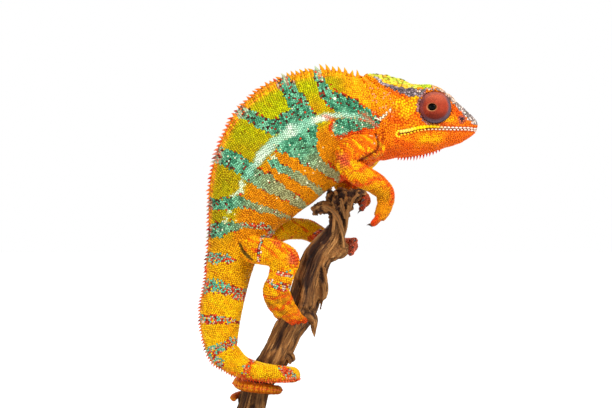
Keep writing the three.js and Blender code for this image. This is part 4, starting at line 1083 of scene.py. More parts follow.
dice = rng.random((len(roots), 3))
root_tint = paint(roots, root_place, dice)
part = root_place[:, 0]
swell = np.where(rooms > 1.3, 1.16, np.where(part == 2, 1.1, 1))
size = rooms * (0.55 + 0.05 * rng.random(len(roots))) * swell
raise_by = np.minimum(0.32 * rooms, 0.36) * (0.8 + 0.4 * rng.random(len(roots)))
coat_finish = hide_material("scales", mottle=0.25, grain=3500, dull=0.42, bump=0.0001)
comb = (part < 2) * step(0.11, 0.05, way_down(root_place[:, 2]))
right = roots[:, 1] < 0
rear = roots[:, 0] < -30 - 0.6 * (roots[:, 2] - 140)
flank = (part == 0) & (roots[:, 0] <= -6) & (roots[:, 2] > 100)
groups = {
    "scales_head": part == 2,
    "scales_neck_and_shoulder": (part == 0) & (roots[:, 0] > -6),
    "scales_flank_right": flank & ~rear & right,
    "scales_flank_left": flank & ~rear & ~right,
    "scales_rump_right": flank & rear & right,
    "scales_rump_left": flank & rear & ~right,
    "scales_tail_base": (part == 0) & (roots[:, 0] <= -6) & (roots[:, 2] <= 100),
    "scales_tail": part == 1,
    "scales_front_legs": np.isin(part, (3, 4, 7, 8, 9, 10)),
    "scales_hind_legs": np.isin(part, (5, 6, 11, 12, 13, 14)),
}
for name, mine in groups.items():
    piece = domes(name, roots[mine], root_normals[mine], ways[mine], size[mine], raise_by[mine],
                  root_tint[mine], tile_place(root_place[mine]), squeeze=1 + 0.7 * comb[mine])
    piece.data.materials.append(coat_finish)
    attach(piece, "root")

# ---- The crests --------------------------------------------------------------------------------------
# Soft horny spines stand along the back, tallest and orange behind the casque, small and pinkish red to
# the tail, and a row of red ones hangs under the chin. Each is a bent cone with its foot sunk in the skin.
def cones(name, roots, outward, lean, radius, height, tint, patch, sides=8, bend=0.35):
    """Bent cones. At a share t of the height each ring's centre is root + outward h t + lean h bend t^2,
    and its radius falls as (1 - t)^0.8; the tint pales towards the tip."""
    t = np.array([-0.25, 0.0, 0.25, 0.5, 0.75, 0.93])
    turn = np.arange(sides) / sides * 2 * math.pi
    aside = unit(np.cross(outward, lean))
    over = np.cross(aside, outward)
    circle = np.cos(turn)[:, None] * aside[:, None] + np.sin(turn)[:, None] * over[:, None]
    high = np.reshape(height, (-1, 1))
    middle = (roots[:, None] + (outward * high)[:, None] * t[:, None]
              + (lean * high * bend)[:, None] * (t**2)[:, None])
    shrink = np.where(t < 0, 1.05, np.maximum(1 - t, 0) ** 0.8)
    rings = middle[:, :, None] + circle[:, None] * np.reshape(radius, (-1, 1, 1, 1)) * shrink[:, None, None]
    tip = roots + outward * high + lean * high * bend
    points = np.concatenate([rings.reshape(len(roots), -1, 3), tip[:, None]], 1).reshape(-1, 3)
    shades = np.concatenate([np.repeat([0.45, 0.7, 0.95, 1.05, 1.15, 1.2], sides), [1.2]])
    tints = (tint[:, None] * shades[:, None]).reshape(-1, 3)
    spread = np.concatenate([np.repeat(np.linspace(1, 0.2, 6), sides), [0.0]])[:, None] * 0.0015
    flat = np.concatenate([np.tile(turn, 6), [0.0]])
    patches = (patch[:, None] + np.stack([np.cos(flat), np.sin(flat)], 1) * spread).reshape(-1, 2)
    k, j = np.meshgrid(np.arange(5), np.arange(sides), indexing="ij")
    here, beside = (k * sides + j).ravel(), (k * sides + (j + 1) % sides).ravel()
    wall = np.stack([here, beside, beside + sides, here + sides], 1)
    last = 5 * sides + np.arange(sides)
    cap = np.stack([last, 5 * sides + (np.arange(sides) + 1) % sides, np.full(sides, 6 * sides)], 1)
    shift = (np.arange(len(roots)) * (6 * sides + 1))[:, None, None]
    return put_mesh(name, points, [(wall[None] + shift).reshape(-1, 4), (cap[None] + shift).reshape(-1, 3)],
                    tints, patches)


def spread_along(line, spacing):
    """Places along a line at a spacing that changes evenly from the first value to the second."""
    length = np.concatenate([[0], np.cumsum(np.linalg.norm(np.diff(line, axis=0), axis=1))])
    count = int(length[-1] * 2 / (spacing[0] + spacing[1]))
    share = np.arange(count) / count
    place = length[-1] * (share * spacing[0] + share**2 / 2 * (spacing[1] - spacing[0])) / (sum(spacing) / 2)
    return np.stack([np.interp(place, length, line[:, k]) for k in range(3)], 1), place


back_share = np.linspace(0.05, 1, 500) * VENT / (len(TRUNK) - 1)
tail_share = np.linspace(0.03, 0.93, 700)
TALL_CREST = 130  # how many points of the back's line stand under the tall spines
spines = []  # place, way along, height, radius, share of the way from nape to tail tip
for off, tall, wide, apart in ((0, 1, 1, 1), (0.28, 0.42, 0.72, 0.66), (-0.28, 0.42, 0.72, 0.66),
                               (0.46, 0.3, 0.66, 0.6), (-0.46, 0.3, 0.66, 0.6)):
    back_line = trunk_form(back_share, np.array([off]))[:, 0]
    tail_line = tail_form(tail_share, np.array([off]))[:, 0]
    for line, spacing, *runs in (
            (back_line[:TALL_CREST], (3.2, 2.2), (3.5, 2.5), (1.2, 1.1), (0, 0.2)),
            (back_line[TALL_CREST:], (2.1, 1.6), (2.1, 1.45), (0.98, 0.7), (0.2, 0.55)),
            (tail_line, (1.5, 1.0), (1.55, 0.5), (0.7, 0.34), (0.55, 1))):
        at, place = spread_along(line, (spacing[0] * apart, spacing[1] * apart))
        high, radius, share = (first + (last - first) * (place / place[-1]) for first, last in runs)
        spines.append(np.column_stack([at, np.gradient(at, axis=0), high * tall, radius * wide, share]))
spines = np.concatenate(spines)
heading, spine_share = unit(spines[:, 3:6]), spines[:, 8]
spine_high = spines[:, 6] * rng.uniform(0.75, 1.2, len(spines))
spine_at, spine_out = onto_skin(spines[:, :3])
spine_place = places(spine_at)
spine_dice = rng.random((len(spines), 3))
spine_tint = paint(spine_at, spine_place, spine_dice)
teal_here = (spine_tint[:, 2] > 0.12)[:, None]
pinkish = np.where(teal_here, pick(spine_dice[:, 1], (0.4, "#8e2c24"), (0.7, "#d97a68"), (1, "#b9a48a")),
                   pick(spine_dice[:, 1], (0.35, "#c42c18"), (0.7, "#e4502a"), (1, "#ee7040")))
orange = np.where(teal_here, pick(spine_dice[:, 1], (0.5, "#d23c1c"), (1, "#a8bc90")), rgb("#f7940a"))
spine_tint = blend_to(spine_tint, blend_to(orange, pinkish, step(0.18, 0.38, spine_share)),
                      np.where(spines[:, 6] > 0.62 * spine_share, 0.92, 0.65))
crest = cones("dorsal_crest", spine_at, unit(spine_out + 0.1 * heading), heading, spines[:, 7], spine_high,
              spine_tint, tile_place(spine_place), sides=7)
crest.data.materials.append(coat_finish)

beard, _ = spread_along(spline(HEAD["chin"], np.linspace(0.22, 0.58, 60)), (1.3, 1.45))
beard_root, beard_out = onto_skin(beard)
back_along = np.tile([-1.0, 0, -0.1], (len(beard), 1))
beard_high = rng.uniform(1.5, 1.9, len(beard)) * np.sin(np.linspace(0.6, 2.6, len(beard))) + 0.35
chin_crest = cones("gular_crest", beard_root, unit(beard_out * [1, 0, 1]), back_along, 0.52, beard_high,
                   one_colour("#d22c10", len(beard)), tile_place(places(beard_root)))
chin_crest.data.materials.append(coat_finish)

# ---- The claws ---------------------------------------------------------------------------------------
# Each toe ends in one curved claw of dark grey-brown horn with a slight polish. It points where its bundle
# of toes points, and its foot is sunk in the toe's tip.
claw_at, claw_way = (np.array(column) for column in zip(*toe_tips))
down_curve = unit(np.cross(np.cross(claw_way, [0, 0, -1.0]), claw_way) + [0, 0, -1e-6])
claws = cones("claws", claw_at + claw_way * 0.2, claw_way, down_curve, 0.45, 2.1,
              one_colour("#4a382e", len(claw_at)), tile_place(places(claw_at)), sides=10, bend=0.45)
horn = hide_material("horn", mottle=0.5, grain=1800, dull=0.3, bump=0.00005, coat=0.3)
claws.data.materials.append(horn)

for piece in (crest, chin_crest, claws):
    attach(piece, "root")

# ---- The eyes ----------------------------------------------------------------------------------------
# A chameleon's lids are fused into a granular cone that leaves only a round opening over the pupil. The
# cone is brick red with a purple-grey hem and is ringed by rows of tiny granules. The glossy ball that sits
# inside it is black with a thin tan iris.
LID = [(0, 6.2), (1.72, 6.2), (1.74, 8.35), (1.82, 8.75), (2.0, 9.0), (2.4, 9.05), (3.1, 8.75), (4.1, 8.15),
       (5.15, 7.3), (6.0, 6.2), (6.62, 4.8), (6.95, 3.0), (7.0, 0.5), (0, 0.4)]
GAZE = (-0.22, 0.0)  # how far the eye's axis turns back and up for each millimetre outwards
EYE_SEAT = 5.4  # how far out from the middle plane that axis starts


def turned_shell(profile, side, rings, sides, wave=0.0):
    """A profile of radius and height turned about the eye's axis, with fine rings raised on it by a sine, as
    points and faces. With them go the seat, the axis and the two ways across it."""
    axis = unit(np.array([GAZE[0], side, GAZE[1]]))
    right = unit(np.cross(axis, [0, 0, 1.0]))
    up = np.cross(right, axis)
    r, h = spline(profile, np.linspace(0, 1, rings)).T
    r = np.maximum(r, 0)
    swell = wave * np.sin(r * 2 * math.pi / 0.52) * step(2.3, 2.9, r) * (1 - step(6.7, 6.95, r))
    turn = np.arange(sides) / sides * 2 * math.pi
    oval = 0.14 * (1 - step(1.8, 5, r))[:, None, None]
    out = np.cos(turn)[:, None] * right * (1 + oval) + np.sin(turn)[:, None] * up * (1 - 0.7 * oval)
    seat = np.array([EYE[0], EYE_SEAT * side, EYE[2]])
    grid = seat + axis * (h + swell)[:, None, None] + out * r[:, None, None]
    faces = [corners[:, ::side] for corners in tube_faces(rings, sides)]  # the right eye's are turned round
    return np.concatenate([grid.reshape(-1, 3), grid[[0, -1]].mean(1)]), faces, (seat, axis, right, up)


def eye_paint(points, dice):
    """Brick red with a painted highlight above, painted shade below and on the upper back; a tan ring at the
    opening; a purple-grey hem, widest below and in front.
    """
    flat = (points - EYE)[:, [0, 2]]
    front, high = flat.T / 7
    hem = step(5.1 - 0.7 * np.maximum(0, front - high) + 0.3, 6.3, np.hypot(*flat.T))
    rim = np.hypot((flat[:, 0] - 8.8 * GAZE[0]) / 1.12, (flat[:, 1] - 8.8 * GAZE[1]) / 0.9)
    colour = layered(
        # Painted light over the brick red: a highlight above, shade below and on the upper back.
        one_colour("#b2432a", len(points)),
        ("#cc6446", step(0.1, 0.8, high)),
        ("#5e1c14", step(0.0, 0.8, -high) * 0.85),
        ("#5a2222", step(0.5, 0.95, -front) * step(-0.2, 0.4, high) * 0.7),
        ("#6a5864", hem * (0.35 + 0.65 * step(-0.3, 0.5, front - high))),
        ("#d8935e", (1 - step(1.9, 2.35, rim)) * (0.45 + 0.55 * step(1.0, -1.6, flat[:, 1]))))
    return colour * (0.82 + 0.36 * dice[:, 2:3])


for side, word in ((-1, "right"), (1, "left")):
    points, faces, (seat, axis, right, up) = turned_shell(LID, side, 110, 96, 0.07)
    # The lid's own skin, seen between the grains, is darkened to 0.62 as painted shade.
    lid = put_mesh(f"eyelid_{word}", points, faces, eye_paint(points, np.full((len(points), 3), 0.5)) * 0.62)
    lid.data.materials.append(hide_material(f"eyelid_skin_{word}", mottle=0.4, grain=3000, dull=0.5,
                                            bump=0.0001))
    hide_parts(f"eye_turret_{word}")
    seats, out_ways = [], []
    slope = spline(LID[5:-1], np.linspace(0, 1, 400))
    slope_length = np.concatenate([[0], np.cumsum(np.linalg.norm(np.diff(slope, axis=0), axis=1))])
    for place in np.arange(0.15, slope_length[-1] - 0.5, 0.46):
        radius, height = (np.interp(place, slope_length, slope[:, k]) for k in range(2))
        onward = [np.interp(place + 0.05, slope_length, slope[:, k]) for k in range(2)]
        tilt = np.arctan2(height - onward[1], onward[0] - radius)
        count = int(2 * math.pi * radius / 0.48)
        turn = (np.arange(count) + rng.random()) / count * 2 * math.pi
        out = np.cos(turn)[:, None] * right + np.sin(turn)[:, None] * up
        seats.append(seat + axis * height + out * radius)
        out_ways.append(unit(axis * math.cos(tilt) + out * math.sin(tilt)))
    seats, out_ways = np.concatenate(seats), np.concatenate(out_ways)
    grains = domes(f"eyelid_grains_{word}", seats, out_ways, unit(np.cross(out_ways, axis) + 1e-6), 0.25,
                   0.13, eye_paint(seats, rng.random((len(seats), 3))),
                   np.array([0.93, 0.1 if side < 0 else 0.3]) + (seats - EYE)[:, [0, 2]] * 0.009)
    grains.data.materials.append(coat_finish)
    ball_profile = [(0, 6.6), (1.68, 6.6), (1.68, 7.8), (1.5, 8.25), (1.0, 8.6), (0.5, 8.76), (0, 8.8)]
    points, faces, _ = turned_shell(ball_profile, side, 40, 48)
    away = np.linalg.norm(np.cross(points - seat, axis), axis=1)
    tint = blend_to(np.full((len(points), 3), 0.002), "#7a4c1e", step(1.55, 1.66, away))
    ball = put_mesh(f"eyeball_surface_{word}", points, faces, tint)
    ball.data.materials.append(hide_material(f"eyeball_{word}", mottle=0.3, grain=4000, dull=0.1, bump=0))
    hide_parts(f"eyeball_{word}")
    for piece, slot in ((lid, "eyelid"), (grains, "eyelid"), (ball, "eye")):
        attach(piece, "root")

# ---- The lips ----------------------------------------------------------------------------------------
# A band of smooth horny plates rims the mouth: yellow and broad at the back of the upper lip and round its
# corner, pale and bead-like in front. Each is a low dome with its rim sunk in the skin.
def level_shots(rows, side):
    """Where level shots from outside the snout first meet the skin. Each row holds a start and a heading."""
    hits = [skin_tree.ray_cast((x * MM, side * y * MM, z * MM), (-out_x, -side * out_y, 0))
            for x, y, z, out_x, out_y in rows.tolist()]
    return np.array([hit[0] for hit in hits]) / MM, np.array([hit[1] for hit in hits])


gape = spline(np.vstack([gape_line, (61.4, 0, 152.4)]), np.linspace(0, 1, 300))
gape_out = unit(np.gradient(gape, axis=0)[:, [1, 0]] * [-1, 1])
gape_length = np.concatenate([[0], np.cumsum(np.linalg.norm(np.diff(gape, axis=0), axis=1))])
lip_rows = []  # a start outside the skin and its heading, half length, half height, colour
for above in (1, -1):
    spacing = (1.15, 2.1) if above > 0 else (1.5, 1.9)
    place = spread_along(gape, spacing)[1]
    step_by = np.diff(np.append(place, gape_length[-1]))
    x, y, z, out_x, out_y = (np.interp(place + step_by / 2, gape_length, values)
                             for values in np.column_stack([gape, gape_out]).T)
    broad = 1 - step(36, 47, x)
    uneven = rng.uniform(0.85, 1.1, len(x))
    if above > 0:
        colour = layered(one_colour("#f0d2c2", len(x)), ("#f6c806", 1 - step(42, 47, x)),
                         ("#f8e08a", (1 - step(28, 34, x)) * 0.4))
        z = z + 0.52 + 0.44 * broad
        size, tall = step_by * (0.49 + 0.26 * broad), 0.5 + 0.46 * broad * uneven
    else:
        colour = blend_to(one_colour("#eccbb8", len(x)), "#f3bf20", 1 - step(33, 45, x))
        z = z - 0.42 - 0.2 * (1 - step(28, 34, x))
        size, tall = step_by * 0.4 * uneven, 0.42 + 0.14 * (1 - step(28, 34, x)) * uneven
    lip_rows.append(np.column_stack([x + 5 * out_x, y + 5 * out_y, z, out_x, out_y, size, tall, colour]))
corner = np.array([(24.9, 16, 151.2, 0, 1), (24.3, 16, 150.5, 0, 1), (24, 16, 149.7, 0, 1),
                   (24.4, 16, 148.9, 0, 1), (25.4, 16, 148.6, 0, 1)])
lip_rows.append(np.column_stack([corner, np.full((len(corner), 2), 0.62),
                                 one_colour("#f6d024", len(corner))]))
lip_rows = np.concatenate(lip_rows)
for side, word in ((-1, "right"), (1, "left")):
    seats, out_ways = level_shots(lip_rows[:, :5], side)
    shade = rng.uniform(0.88, 1.1, (len(seats), 1))
    long = unit(np.cross(out_ways, [0, 0, 1.0]))
    lips = domes(f"lip_plates_{word}", seats, out_ways, long, lip_rows[:, 5], 0.42, lip_rows[:, 7:] * shade,
                 tile_place(places(seats)), sides=10, squeeze=lip_rows[:, 6] / lip_rows[:, 5])
    lips.data.materials.append(coat_finish)
    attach(lips, "root")

# ---- The driftwood perch -----------------------------------------------------------------------------
# A length of driftwood worn by the weather, broken at the top, with knots, splinters and long open grain. Its
# tubes are fused on a lattice and the grain is carved into the points, running along each limb. Painted shade
# darkens its top and a streak down the trunk.
WOOD = [
    [(-44, 0, 17.1, 6.9), (-40.6, 0, 27, 6.8), (-38.2, 0, 35.9, 6.5), (-34.6, 0, 42.6, 6.7),
     (-30.4, 0, 49.8, 7), (-26.6, 0, 56.9, 6.6), (-23.4, 0, 62.5, 6.4), (-20, 0, 68.1, 6.8),
     (-17.2, 0, 75, 7.4), (-15.1, 0, 83.1, 7), (-12.6, 0, 90, 7), (-9.7, 0, 95.9, 6.8), (-4.6, 0, 102.6, 6),
     (-1.9, 0, 108.2, 4.8), (-0.9, 0, 113.6, 4.6), (-0.4, 0, 118.8, 6.2), (1.4, 0.5, 122.6, 5.4),
     (2, 0.5, 125.2, 3.6)],
    [(-1, 0, 116, 3.6), (-6.5, -1.2, 117.0, 3.2), (-10.8, -1.6, 116.4, 3.0), (-12.0, -1.6, 113.8, 1.8)],
    [(-1.5, 0, 118, 3.0), (-5.2, -0.5, 122.0, 2.4), (-5.6, -0.4, 126.0, 1.6)],
    [(1.5, -0.5, 119.5, 4.2), (6.0, -0.8, 123.0, 3.0), (10.4, -0.5, 124.2, 2.0)],
    [(-8, 0, 96, 5.0), (-3.0, -0.5, 97.5, 4.8), (0.6, -1, 98.2, 3.8), (2.8, -1.2, 98.2, 2.6)],
    [(-9.5, -2.6, 117.6, 1.3), (-6, -4.2, 117.2, 1.5), (-1.8, -5.4, 113, 1.4), (0.2, -5.4, 106, 1.2),
     (0.9, -4.4, 99, 1.2)],
    [(-3.6, -4, 121.4, 0.9), (-3.4, -4.6, 113, 1), (-4.4, -5, 104, 0.9), (-7.6, -5.6, 96, 0.8)],
    [(3.2, -3.8, 121.5, 1), (2.6, -4.4, 114, 1), (2.2, -4.2, 107.5, 0.7)],
    [(-0.4, -5.2, 121.5, 1), (0.4, -5.4, 117, 1.1), (1.4, -4.8, 112, 0.8)],
    [(7.2, -2.6, 123.4, 1), (4.8, -4.2, 119.6, 1), (3.6, -4, 115, 0.8)],
    [(-3.2, -2, 124.8, 1), (-1.6, -4, 121.4, 1.1), (-1.8, -4.8, 117.6, 0.8)],
    [(-9.0, -3.4, 90, 2.4), (-8.2, -3.8, 80, 2.0), (-9.6, -3.8, 71.2, 0.7)],
    [(-16, -2.5, 71, 3.8), (-12.6, -3.2, 66.8, 2.5), (-12.4, -3.6, 62.5, 1.4), (-12.0, -3.8, 58.6, 0.5)],
    [(-27.5, -1.0, 65.5, 1.8), (-30.4, -1.5, 61.5, 1.4), (-33.2, -1.5, 57.2, 0.6)],
    [(-27.5, -2, 54, 3.4), (-23.2, -3, 50.8, 2.4), (-22.2, -3, 47.4, 1.5)],
]
STRAND_ROWS = (5, 11)  # the rows of WOOD that are loose strands, the second not counted
TUBE_APART = 40  # how far along the grain each tube's marks are moved from the last one's
wood_tubes, wood_marks = [], []
for number, rows in enumerate(WOOD):
    rings, sides = (170, 72) if number == 0 else (40, 28)
    points, faces, place = closed_tube(lambda a, r: round_form(rows, a, r), rings, sides)
    share, angle = place.T
    length = np.linalg.norm(np.diff(np.array(rows)[:, :3], axis=0), axis=1).sum()
    section = spline(rows, share)
    middle, radius = section[:, :3], section[:, 3]
    if number == 0:
        swell = 1 + 0.05 * np.cos(5 * angle + share * 8) + 0.03 * np.cos(3 * angle - share * 5)
        points = middle + (points - middle) * swell[:, None]
    twist = angle + 1.2 * share
    wood_tubes.append((points, faces))
    wood_marks.append(np.stack([radius * np.cos(twist), radius * np.sin(twist),
                                share * length + TUBE_APART * number], 1))
wood, wood_quads = fuse("wood", wood_tubes, 0.38)
wood_edges = edges_of(wood_quads)
wood = smoothed(wood, wood_edges, 2)
wood_tree = KDTree(sum(len(points) for points, _ in wood_tubes))
for at, point in enumerate(np.concatenate([points for points, _ in wood_tubes]).tolist()):
    wood_tree.insert(point, at)
wood_tree.balance()
grain = np.concatenate(wood_marks)[[wood_tree.find(point)[1] for point in wood.tolist()]]
fibre = grain * [1, 1, 0.09]
strands = (grain[:, 2] >= TUBE_APART * STRAND_ROWS[0]) & (grain[:, 2] < TUBE_APART * STRAND_ROWS[1])
top = step(108, 117, wood[:, 2]) * ~strands
knots = top + np.exp(-(np.linalg.norm(wood - [-15.5, -6, 70], axis=1) / 4) ** 2)
cracks = np.zeros(len(wood))
for size, seed in ((7, 41), (5, 42), (6, 43)):
    cracks = np.maximum(cracks, np.exp(-(ripple(fibre * [1, 1, 0.5], size, seed) / (1.7 / size)) ** 2)
                        * step(-0.2, 0.5, ripple(wood * [1, 1, 0.6], 12, seed + 10)))
flat = 0.34 * ripple(fibre * [1, 1, 0.6], 5.5, 31) + 0.2 * ripple(fibre, 2.6, 35)
flat += 0.14 * ripple(fibre, 1.4, 32)
push = flat - cracks + 0.75 * knots * ripple(wood, 3.0, 34) + 0.4 * top * ripple(wood, 1.6, 37)
push = np.where(strands, 0.35 * flat, push)
# Painted shade: a dark streak down the trunk, drawn along this line and the same on both faces.
DARK_STREAK = [(-1, 0, 114), (-8, 0, 103), (-14.5, 0, 92), (-16.5, 0, 84)]  # its line seen from the side
shaded = 1 - step(-1.5, 1.5, off_line(wood * [1, 0, 1], DARK_STREAK) - 2.7)
wood += facing(wood, wood_quads) * (np.clip(push, -1.5, 0.75) - 0.1)[:, None]
driftwood = put_mesh("driftwood", wood, [wood_quads])
# Darkening kept on the wood: deeper in recesses and cracks, with painted shade on the top and along the dark
# streak. Loose strands are darkened only by their recesses.
recess_and_shade = np.where(strands, 0.2 - 0.5 * push, 0.4 - 0.5 * push + 0.3 * top + 0.38 * shaded)
bleached = strands * 0.8 + 0.5 * step(0.2, 1, ripple(fibre, 9, 38)) * (1 - top)
for name, kind, key, values in (("grain", "FLOAT_VECTOR", "vector", grain * MM),
                                ("recess_and_shade", "FLOAT", "value", np.clip(recess_and_shade, 0, 1)),
                                ("pale", "FLOAT", "value", np.clip(bleached, 0, 1))):
    layer = driftwood.data.attributes.new(name, kind, "POINT")
    layer.data.foreach_set(key, values.astype(np.float32).ravel())


def stretched(tree, where, scale):
    """Places with each axis scaled."""
    node = tree.nodes.new("ShaderNodeMapping")
    feed(tree, node.inputs["Vector"], where)
    feed(tree, node.inputs["Scale"], scale)
    return node.outputs["Vector"]


def ramp_of(tree, value, *stops):
    """A colour ramp over a value. Each stop is a place and a linear colour."""
    node = tree.nodes.new("ShaderNodeValToRGB")
    marks = node.color_ramp.elements
    for at, colour in stops:
        marks.new(at).color = (*colour, 1)
    marks.remove(marks[-1])
    marks.remove(marks[0])
    feed(tree, node.inputs["Fac"], value)
    return node.outputs["Color"]


def mixed(tree, blend, factor, first, second):
    """Two colours mixed or multiplied by a factor."""
    node = tree.nodes.new("ShaderNodeMix")
    node.data_type, node.blend_type = "RGBA", blend
    for socket, value in (("Factor", factor), ("A", first), ("B", second)):
        feed(tree, node.inputs[socket], value)
    return node.outputs["Result"]


def wood_material():
    """Fibres are noise stretched 14 times along the grain. Colour runs from near black in recesses through
    brown to pale tan on the fibres' crests, crossed by thin dark checks and bleached where the wood is pale.
    The same darkening lays painted shade on the top and along a streak down the trunk."""
    material, tree, shader = new_material("weathered_wood")
    grain = kept_values(tree, "grain", "Vector")
    lengthways = stretched(tree, grain, (1, 1, 0.07))
    fibres = noise_of(tree, lengthways, 1600, 6, 0.62)
    brown = ramp_of(tree, fibres, (0.3, rgb("#5a3414")), (0.44, rgb("#905c28")), (0.55, rgb("#b27a3c")),
                    (0.7, rgb("#dcac6c")))
    pale = worked(tree, "MULTIPLY", kept_values(tree, "pale", "Fac"), 0.6)
    thin = [(0.47, (1, 0.95, 0.9)), (0.5, (0.22, 0.209, 0.198)), (0.525, (1, 0.95, 0.9))]
    checks = ramp_of(tree, noise_of(tree, lengthways, 420, 3), *thin)
    recess_and_shade_tint = ramp_of(tree, kept_values(tree, "recess_and_shade", "Fac"), (0.3, (1, 1, 1)),
                      (0.92, (0.12, 0.075, 0.045)))
    colour = mixed(tree, "MIX", pale, brown, (*rgb("#c08a50"), 1))
    for factor, over in ((1, checks), (0.5, noise_of(tree, grain, 140, 4)), (1, recess_and_shade_tint)):
        colour = mixed(tree, "MULTIPLY", factor, colour, over)
    feed(tree, shader.inputs["Base Color"], colour)
    feed(tree, shader.inputs["Roughness"], 0.75)
    feed(tree, shader.inputs["Specular IOR Level"], 0.3)
    dent_normal(tree, fibres, 0.8, 0.0004)
    return material


driftwood.data.materials.append(wood_material())
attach(driftwood, "root")
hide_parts("perch_branch")

# ---- The display stand -------------------------------------------------------------------------------
# A plain slab of satin black painted wood carries one brushed steel rod, which stands in a small turned
# flange and runs up into the foot of the driftwood.
def rounded_slab(length, depth, height, corner, edge, sides=96):
    """Rings of a rectangle with round corners: each ring lies edge (1 - sin a) inside the outline as its
    height turns through the quarter circle a at the lower and the upper edge."""
    turn = np.linspace(0, 2 * math.pi, sides, endpoint=False)
    quarter = np.linspace(0, math.pi / 2, 7)
    inset = edge * np.concatenate([1 - np.sin(quarter), 1 - np.sin(quarter[::-1])])
    z = np.concatenate([edge * (1 - np.cos(quarter)), height - edge * (1 - np.cos(quarter[::-1]))])
    middle = np.stack([np.sign(np.cos(turn)) * (length / 2 - corner),
                       np.sign(np.sin(turn)) * (depth / 2 - corner)], 1)
    way = np.stack([np.cos(turn), np.sin(turn)], 1)
    flat = middle[None] + way[None] * (corner - inset)[:, None, None]
    points = np.concatenate([flat, np.broadcast_to(z[:, None, None], (len(z), sides, 1))], 2).reshape(-1, 3)
    return np.concatenate([points, [[0, 0, 0], [0, 0, height]]]), tube_faces(len(z), sides)


def turned_post(x, profile, sides=64):
    """A profile of radius and height turned about an upright axis."""
    turn = np.linspace(0, 2 * math.pi, sides, endpoint=False)
    r, z = np.array(profile, float).T
    grid = np.stack([x + r[:, None] * np.cos(turn), r[:, None] * np.sin(turn),
                     np.tile(z[:, None], (1, sides))], -1)
    return np.concatenate([grid.reshape(-1, 3), [[x, 0, z[0]], [x, 0, z[-1]]]]), tube_faces(len(r), sides)


def stand_material(name, code, metal, dull, spread, scale, grain):
    """Roughness and a slight shade follow one noise, its places scaled along x, y and z by the grain."""
    material, tree, shader = new_material(name)
    where = tree.nodes.new("ShaderNodeTexCoord").outputs["Object"]
    noise = noise_of(tree, stretched(tree, where, grain), scale, 5)
    rough = tree.nodes.new("ShaderNodeMapRange")
    for socket, value in (("Value", noise), ("To Min", dull), ("To Max", dull + spread)):
        feed(tree, rough.inputs[socket], value)
    shades = ramp_of(tree, noise, (0.3, rgb(code) * 0.8), (0.75, rgb(code) * 1.25))
    for socket, value in (("Base Color", shades), ("Roughness", rough.outputs["Result"]),
                          ("Metallic", metal)):
        feed(tree, shader.inputs[socket], value)
    dent_normal(tree, noise, 0.25, 0.0001)
    return material


slab = put_mesh("stand_slab", *rounded_slab(length=136, depth=84, height=8, corner=12, edge=1))
slab.data.materials.append(stand_material("stand_black_paint", "#26272a", metal=0, dull=0.42, spread=0.2,
                                          scale=900, grain=(1, 1, 1)))
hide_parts("stand_base")
POST = [(0.01, 8), (8, 8), (8, 9.2), (7.7, 9.7), (7.2, 10), (4.2, 10), (3.5, 10.3), (3.1, 11), (3, 12),
        (3, 26.5), (2.6, 27), (0.01, 27)]
pole = put_mesh("stand_post", *turned_post(-42.3, POST))
pole.data.materials.append(stand_material("stand_brushed_steel", "#b9bcc0", metal=1, dull=0.28, spread=0.22,
                                          scale=2500, grain=(1, 1, 0.06)))
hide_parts("stand_rod")
for piece in (slab, pole):
    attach(piece, "root")

# ---- Camera, light and floor -------------------------------------------------------------------------
# A level view of the right side on a pale paper floor in soft studio light. The paper gives off more light
# farther out, so that its edge melts into the white background.
VIEW_DISTANCE, VIEW_WIDTH = 900, 275.4
view = bpy.data.cameras.new("view")
view.sensor_width = 36
view.lens = view.sensor_width * VIEW_DISTANCE / VIEW_WIDTH
view.clip_start, view.clip_end = 0.05, 20
camera = bpy.data.objects.new("view", view)
camera.location = (-0.016, -VIEW_DISTANCE * MM, 0.1188)
camera.rotation_euler = (math.pi / 2, 0, 0)
bpy.context.scene.collection.objects.link(camera)
bpy.context.scene.camera = camera


def softbox(name, place, size, power):
    """A round lamp aimed at the middle of the animal."""
    light = bpy.data.lights.new(name, "AREA")
    light.shape = "DISK"
    light.size = size
    light.energy = power
    lamp = bpy.data.objects.new(name, light)
    lamp.location = place
    lamp.rotation_euler = (Vector((-0.02, 0, 0.12)) - Vector(place)).to_track_quat("-Z", "Y").to_euler()
    bpy.context.scene.collection.objects.link(lamp)


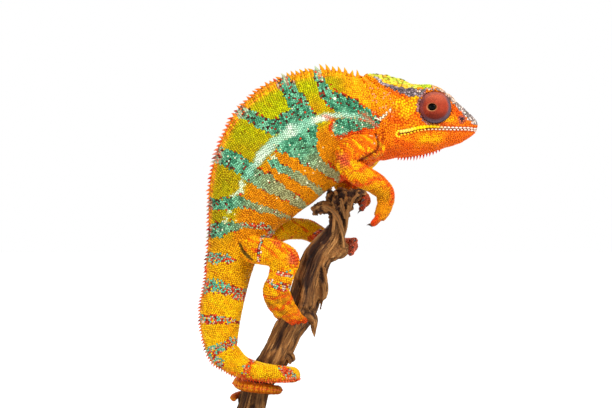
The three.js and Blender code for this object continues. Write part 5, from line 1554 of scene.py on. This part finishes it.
softbox("key", (0.55, -0.8, 0.95), 0.6, 17)
softbox("fill", (-0.9, -0.7, 0.35), 0.9, 4)
softbox("back", (-0.3, 0.8, 0.9), 0.6, 6)
world = bpy.data.worlds.new("studio")
world.use_nodes = True
sky = world.node_tree
lit, shown = sky.nodes["Background"], sky.nodes.new("ShaderNodeBackground")
lit.inputs["Color"].default_value = shown.inputs["Color"].default_value = (1, 1, 1, 1)
lit.inputs["Strength"].default_value, shown.inputs["Strength"].default_value = 0.42, 1.0
ray, choice = sky.nodes.new("ShaderNodeLightPath"), sky.nodes.new("ShaderNodeMixShader")
sky.links.new(ray.outputs["Is Camera Ray"], choice.inputs[0])
sky.links.new(lit.outputs[0], choice.inputs[1])
sky.links.new(shown.outputs[0], choice.inputs[2])
sky.links.new(choice.outputs[0], sky.nodes["World Output"].inputs["Surface"])
bpy.context.scene.world = world
bpy.context.scene.view_settings.view_transform = "Standard"

sides = 96
turn = np.linspace(0, 2 * math.pi, sides, endpoint=False)
reach = np.array([400.0, 800.0, 1400.0, 2400.0, 4000.0])
rings = (reach[:, None, None] * np.stack([np.cos(turn), np.sin(turn), 0 * turn], 1)).reshape(-1, 3)
quads, fans = tube_faces(len(reach), sides)
floor = put_mesh("studio_floor", np.concatenate([rings, [[0, 0, 0]]]), [quads[:, ::-1], fans[:sides, ::-1]])
paper, tree, shader = new_material("pale_paper")
distance, glow = tree.nodes.new("ShaderNodeVectorMath"), tree.nodes.new("ShaderNodeMapRange")
distance.operation = "LENGTH"
feed(tree, distance.inputs[0], tree.nodes.new("ShaderNodeTexCoord").outputs["Object"])
for socket, value in (("Value", distance.outputs["Value"]), ("From Min", 0.35), ("From Max", 1.4),
                      ("To Min", 0.12), ("To Max", 0.75)):
    feed(tree, glow.inputs[socket], value)
for socket, value in (("Base Color", (0.9, 0.9, 0.9, 1)), ("Roughness", 0.9),
                      ("Emission Color", (1, 1, 1, 1)), ("Emission Strength", glow.outputs["Result"])):
    feed(tree, shader.inputs[socket], value)
floor.data.materials.append(paper)
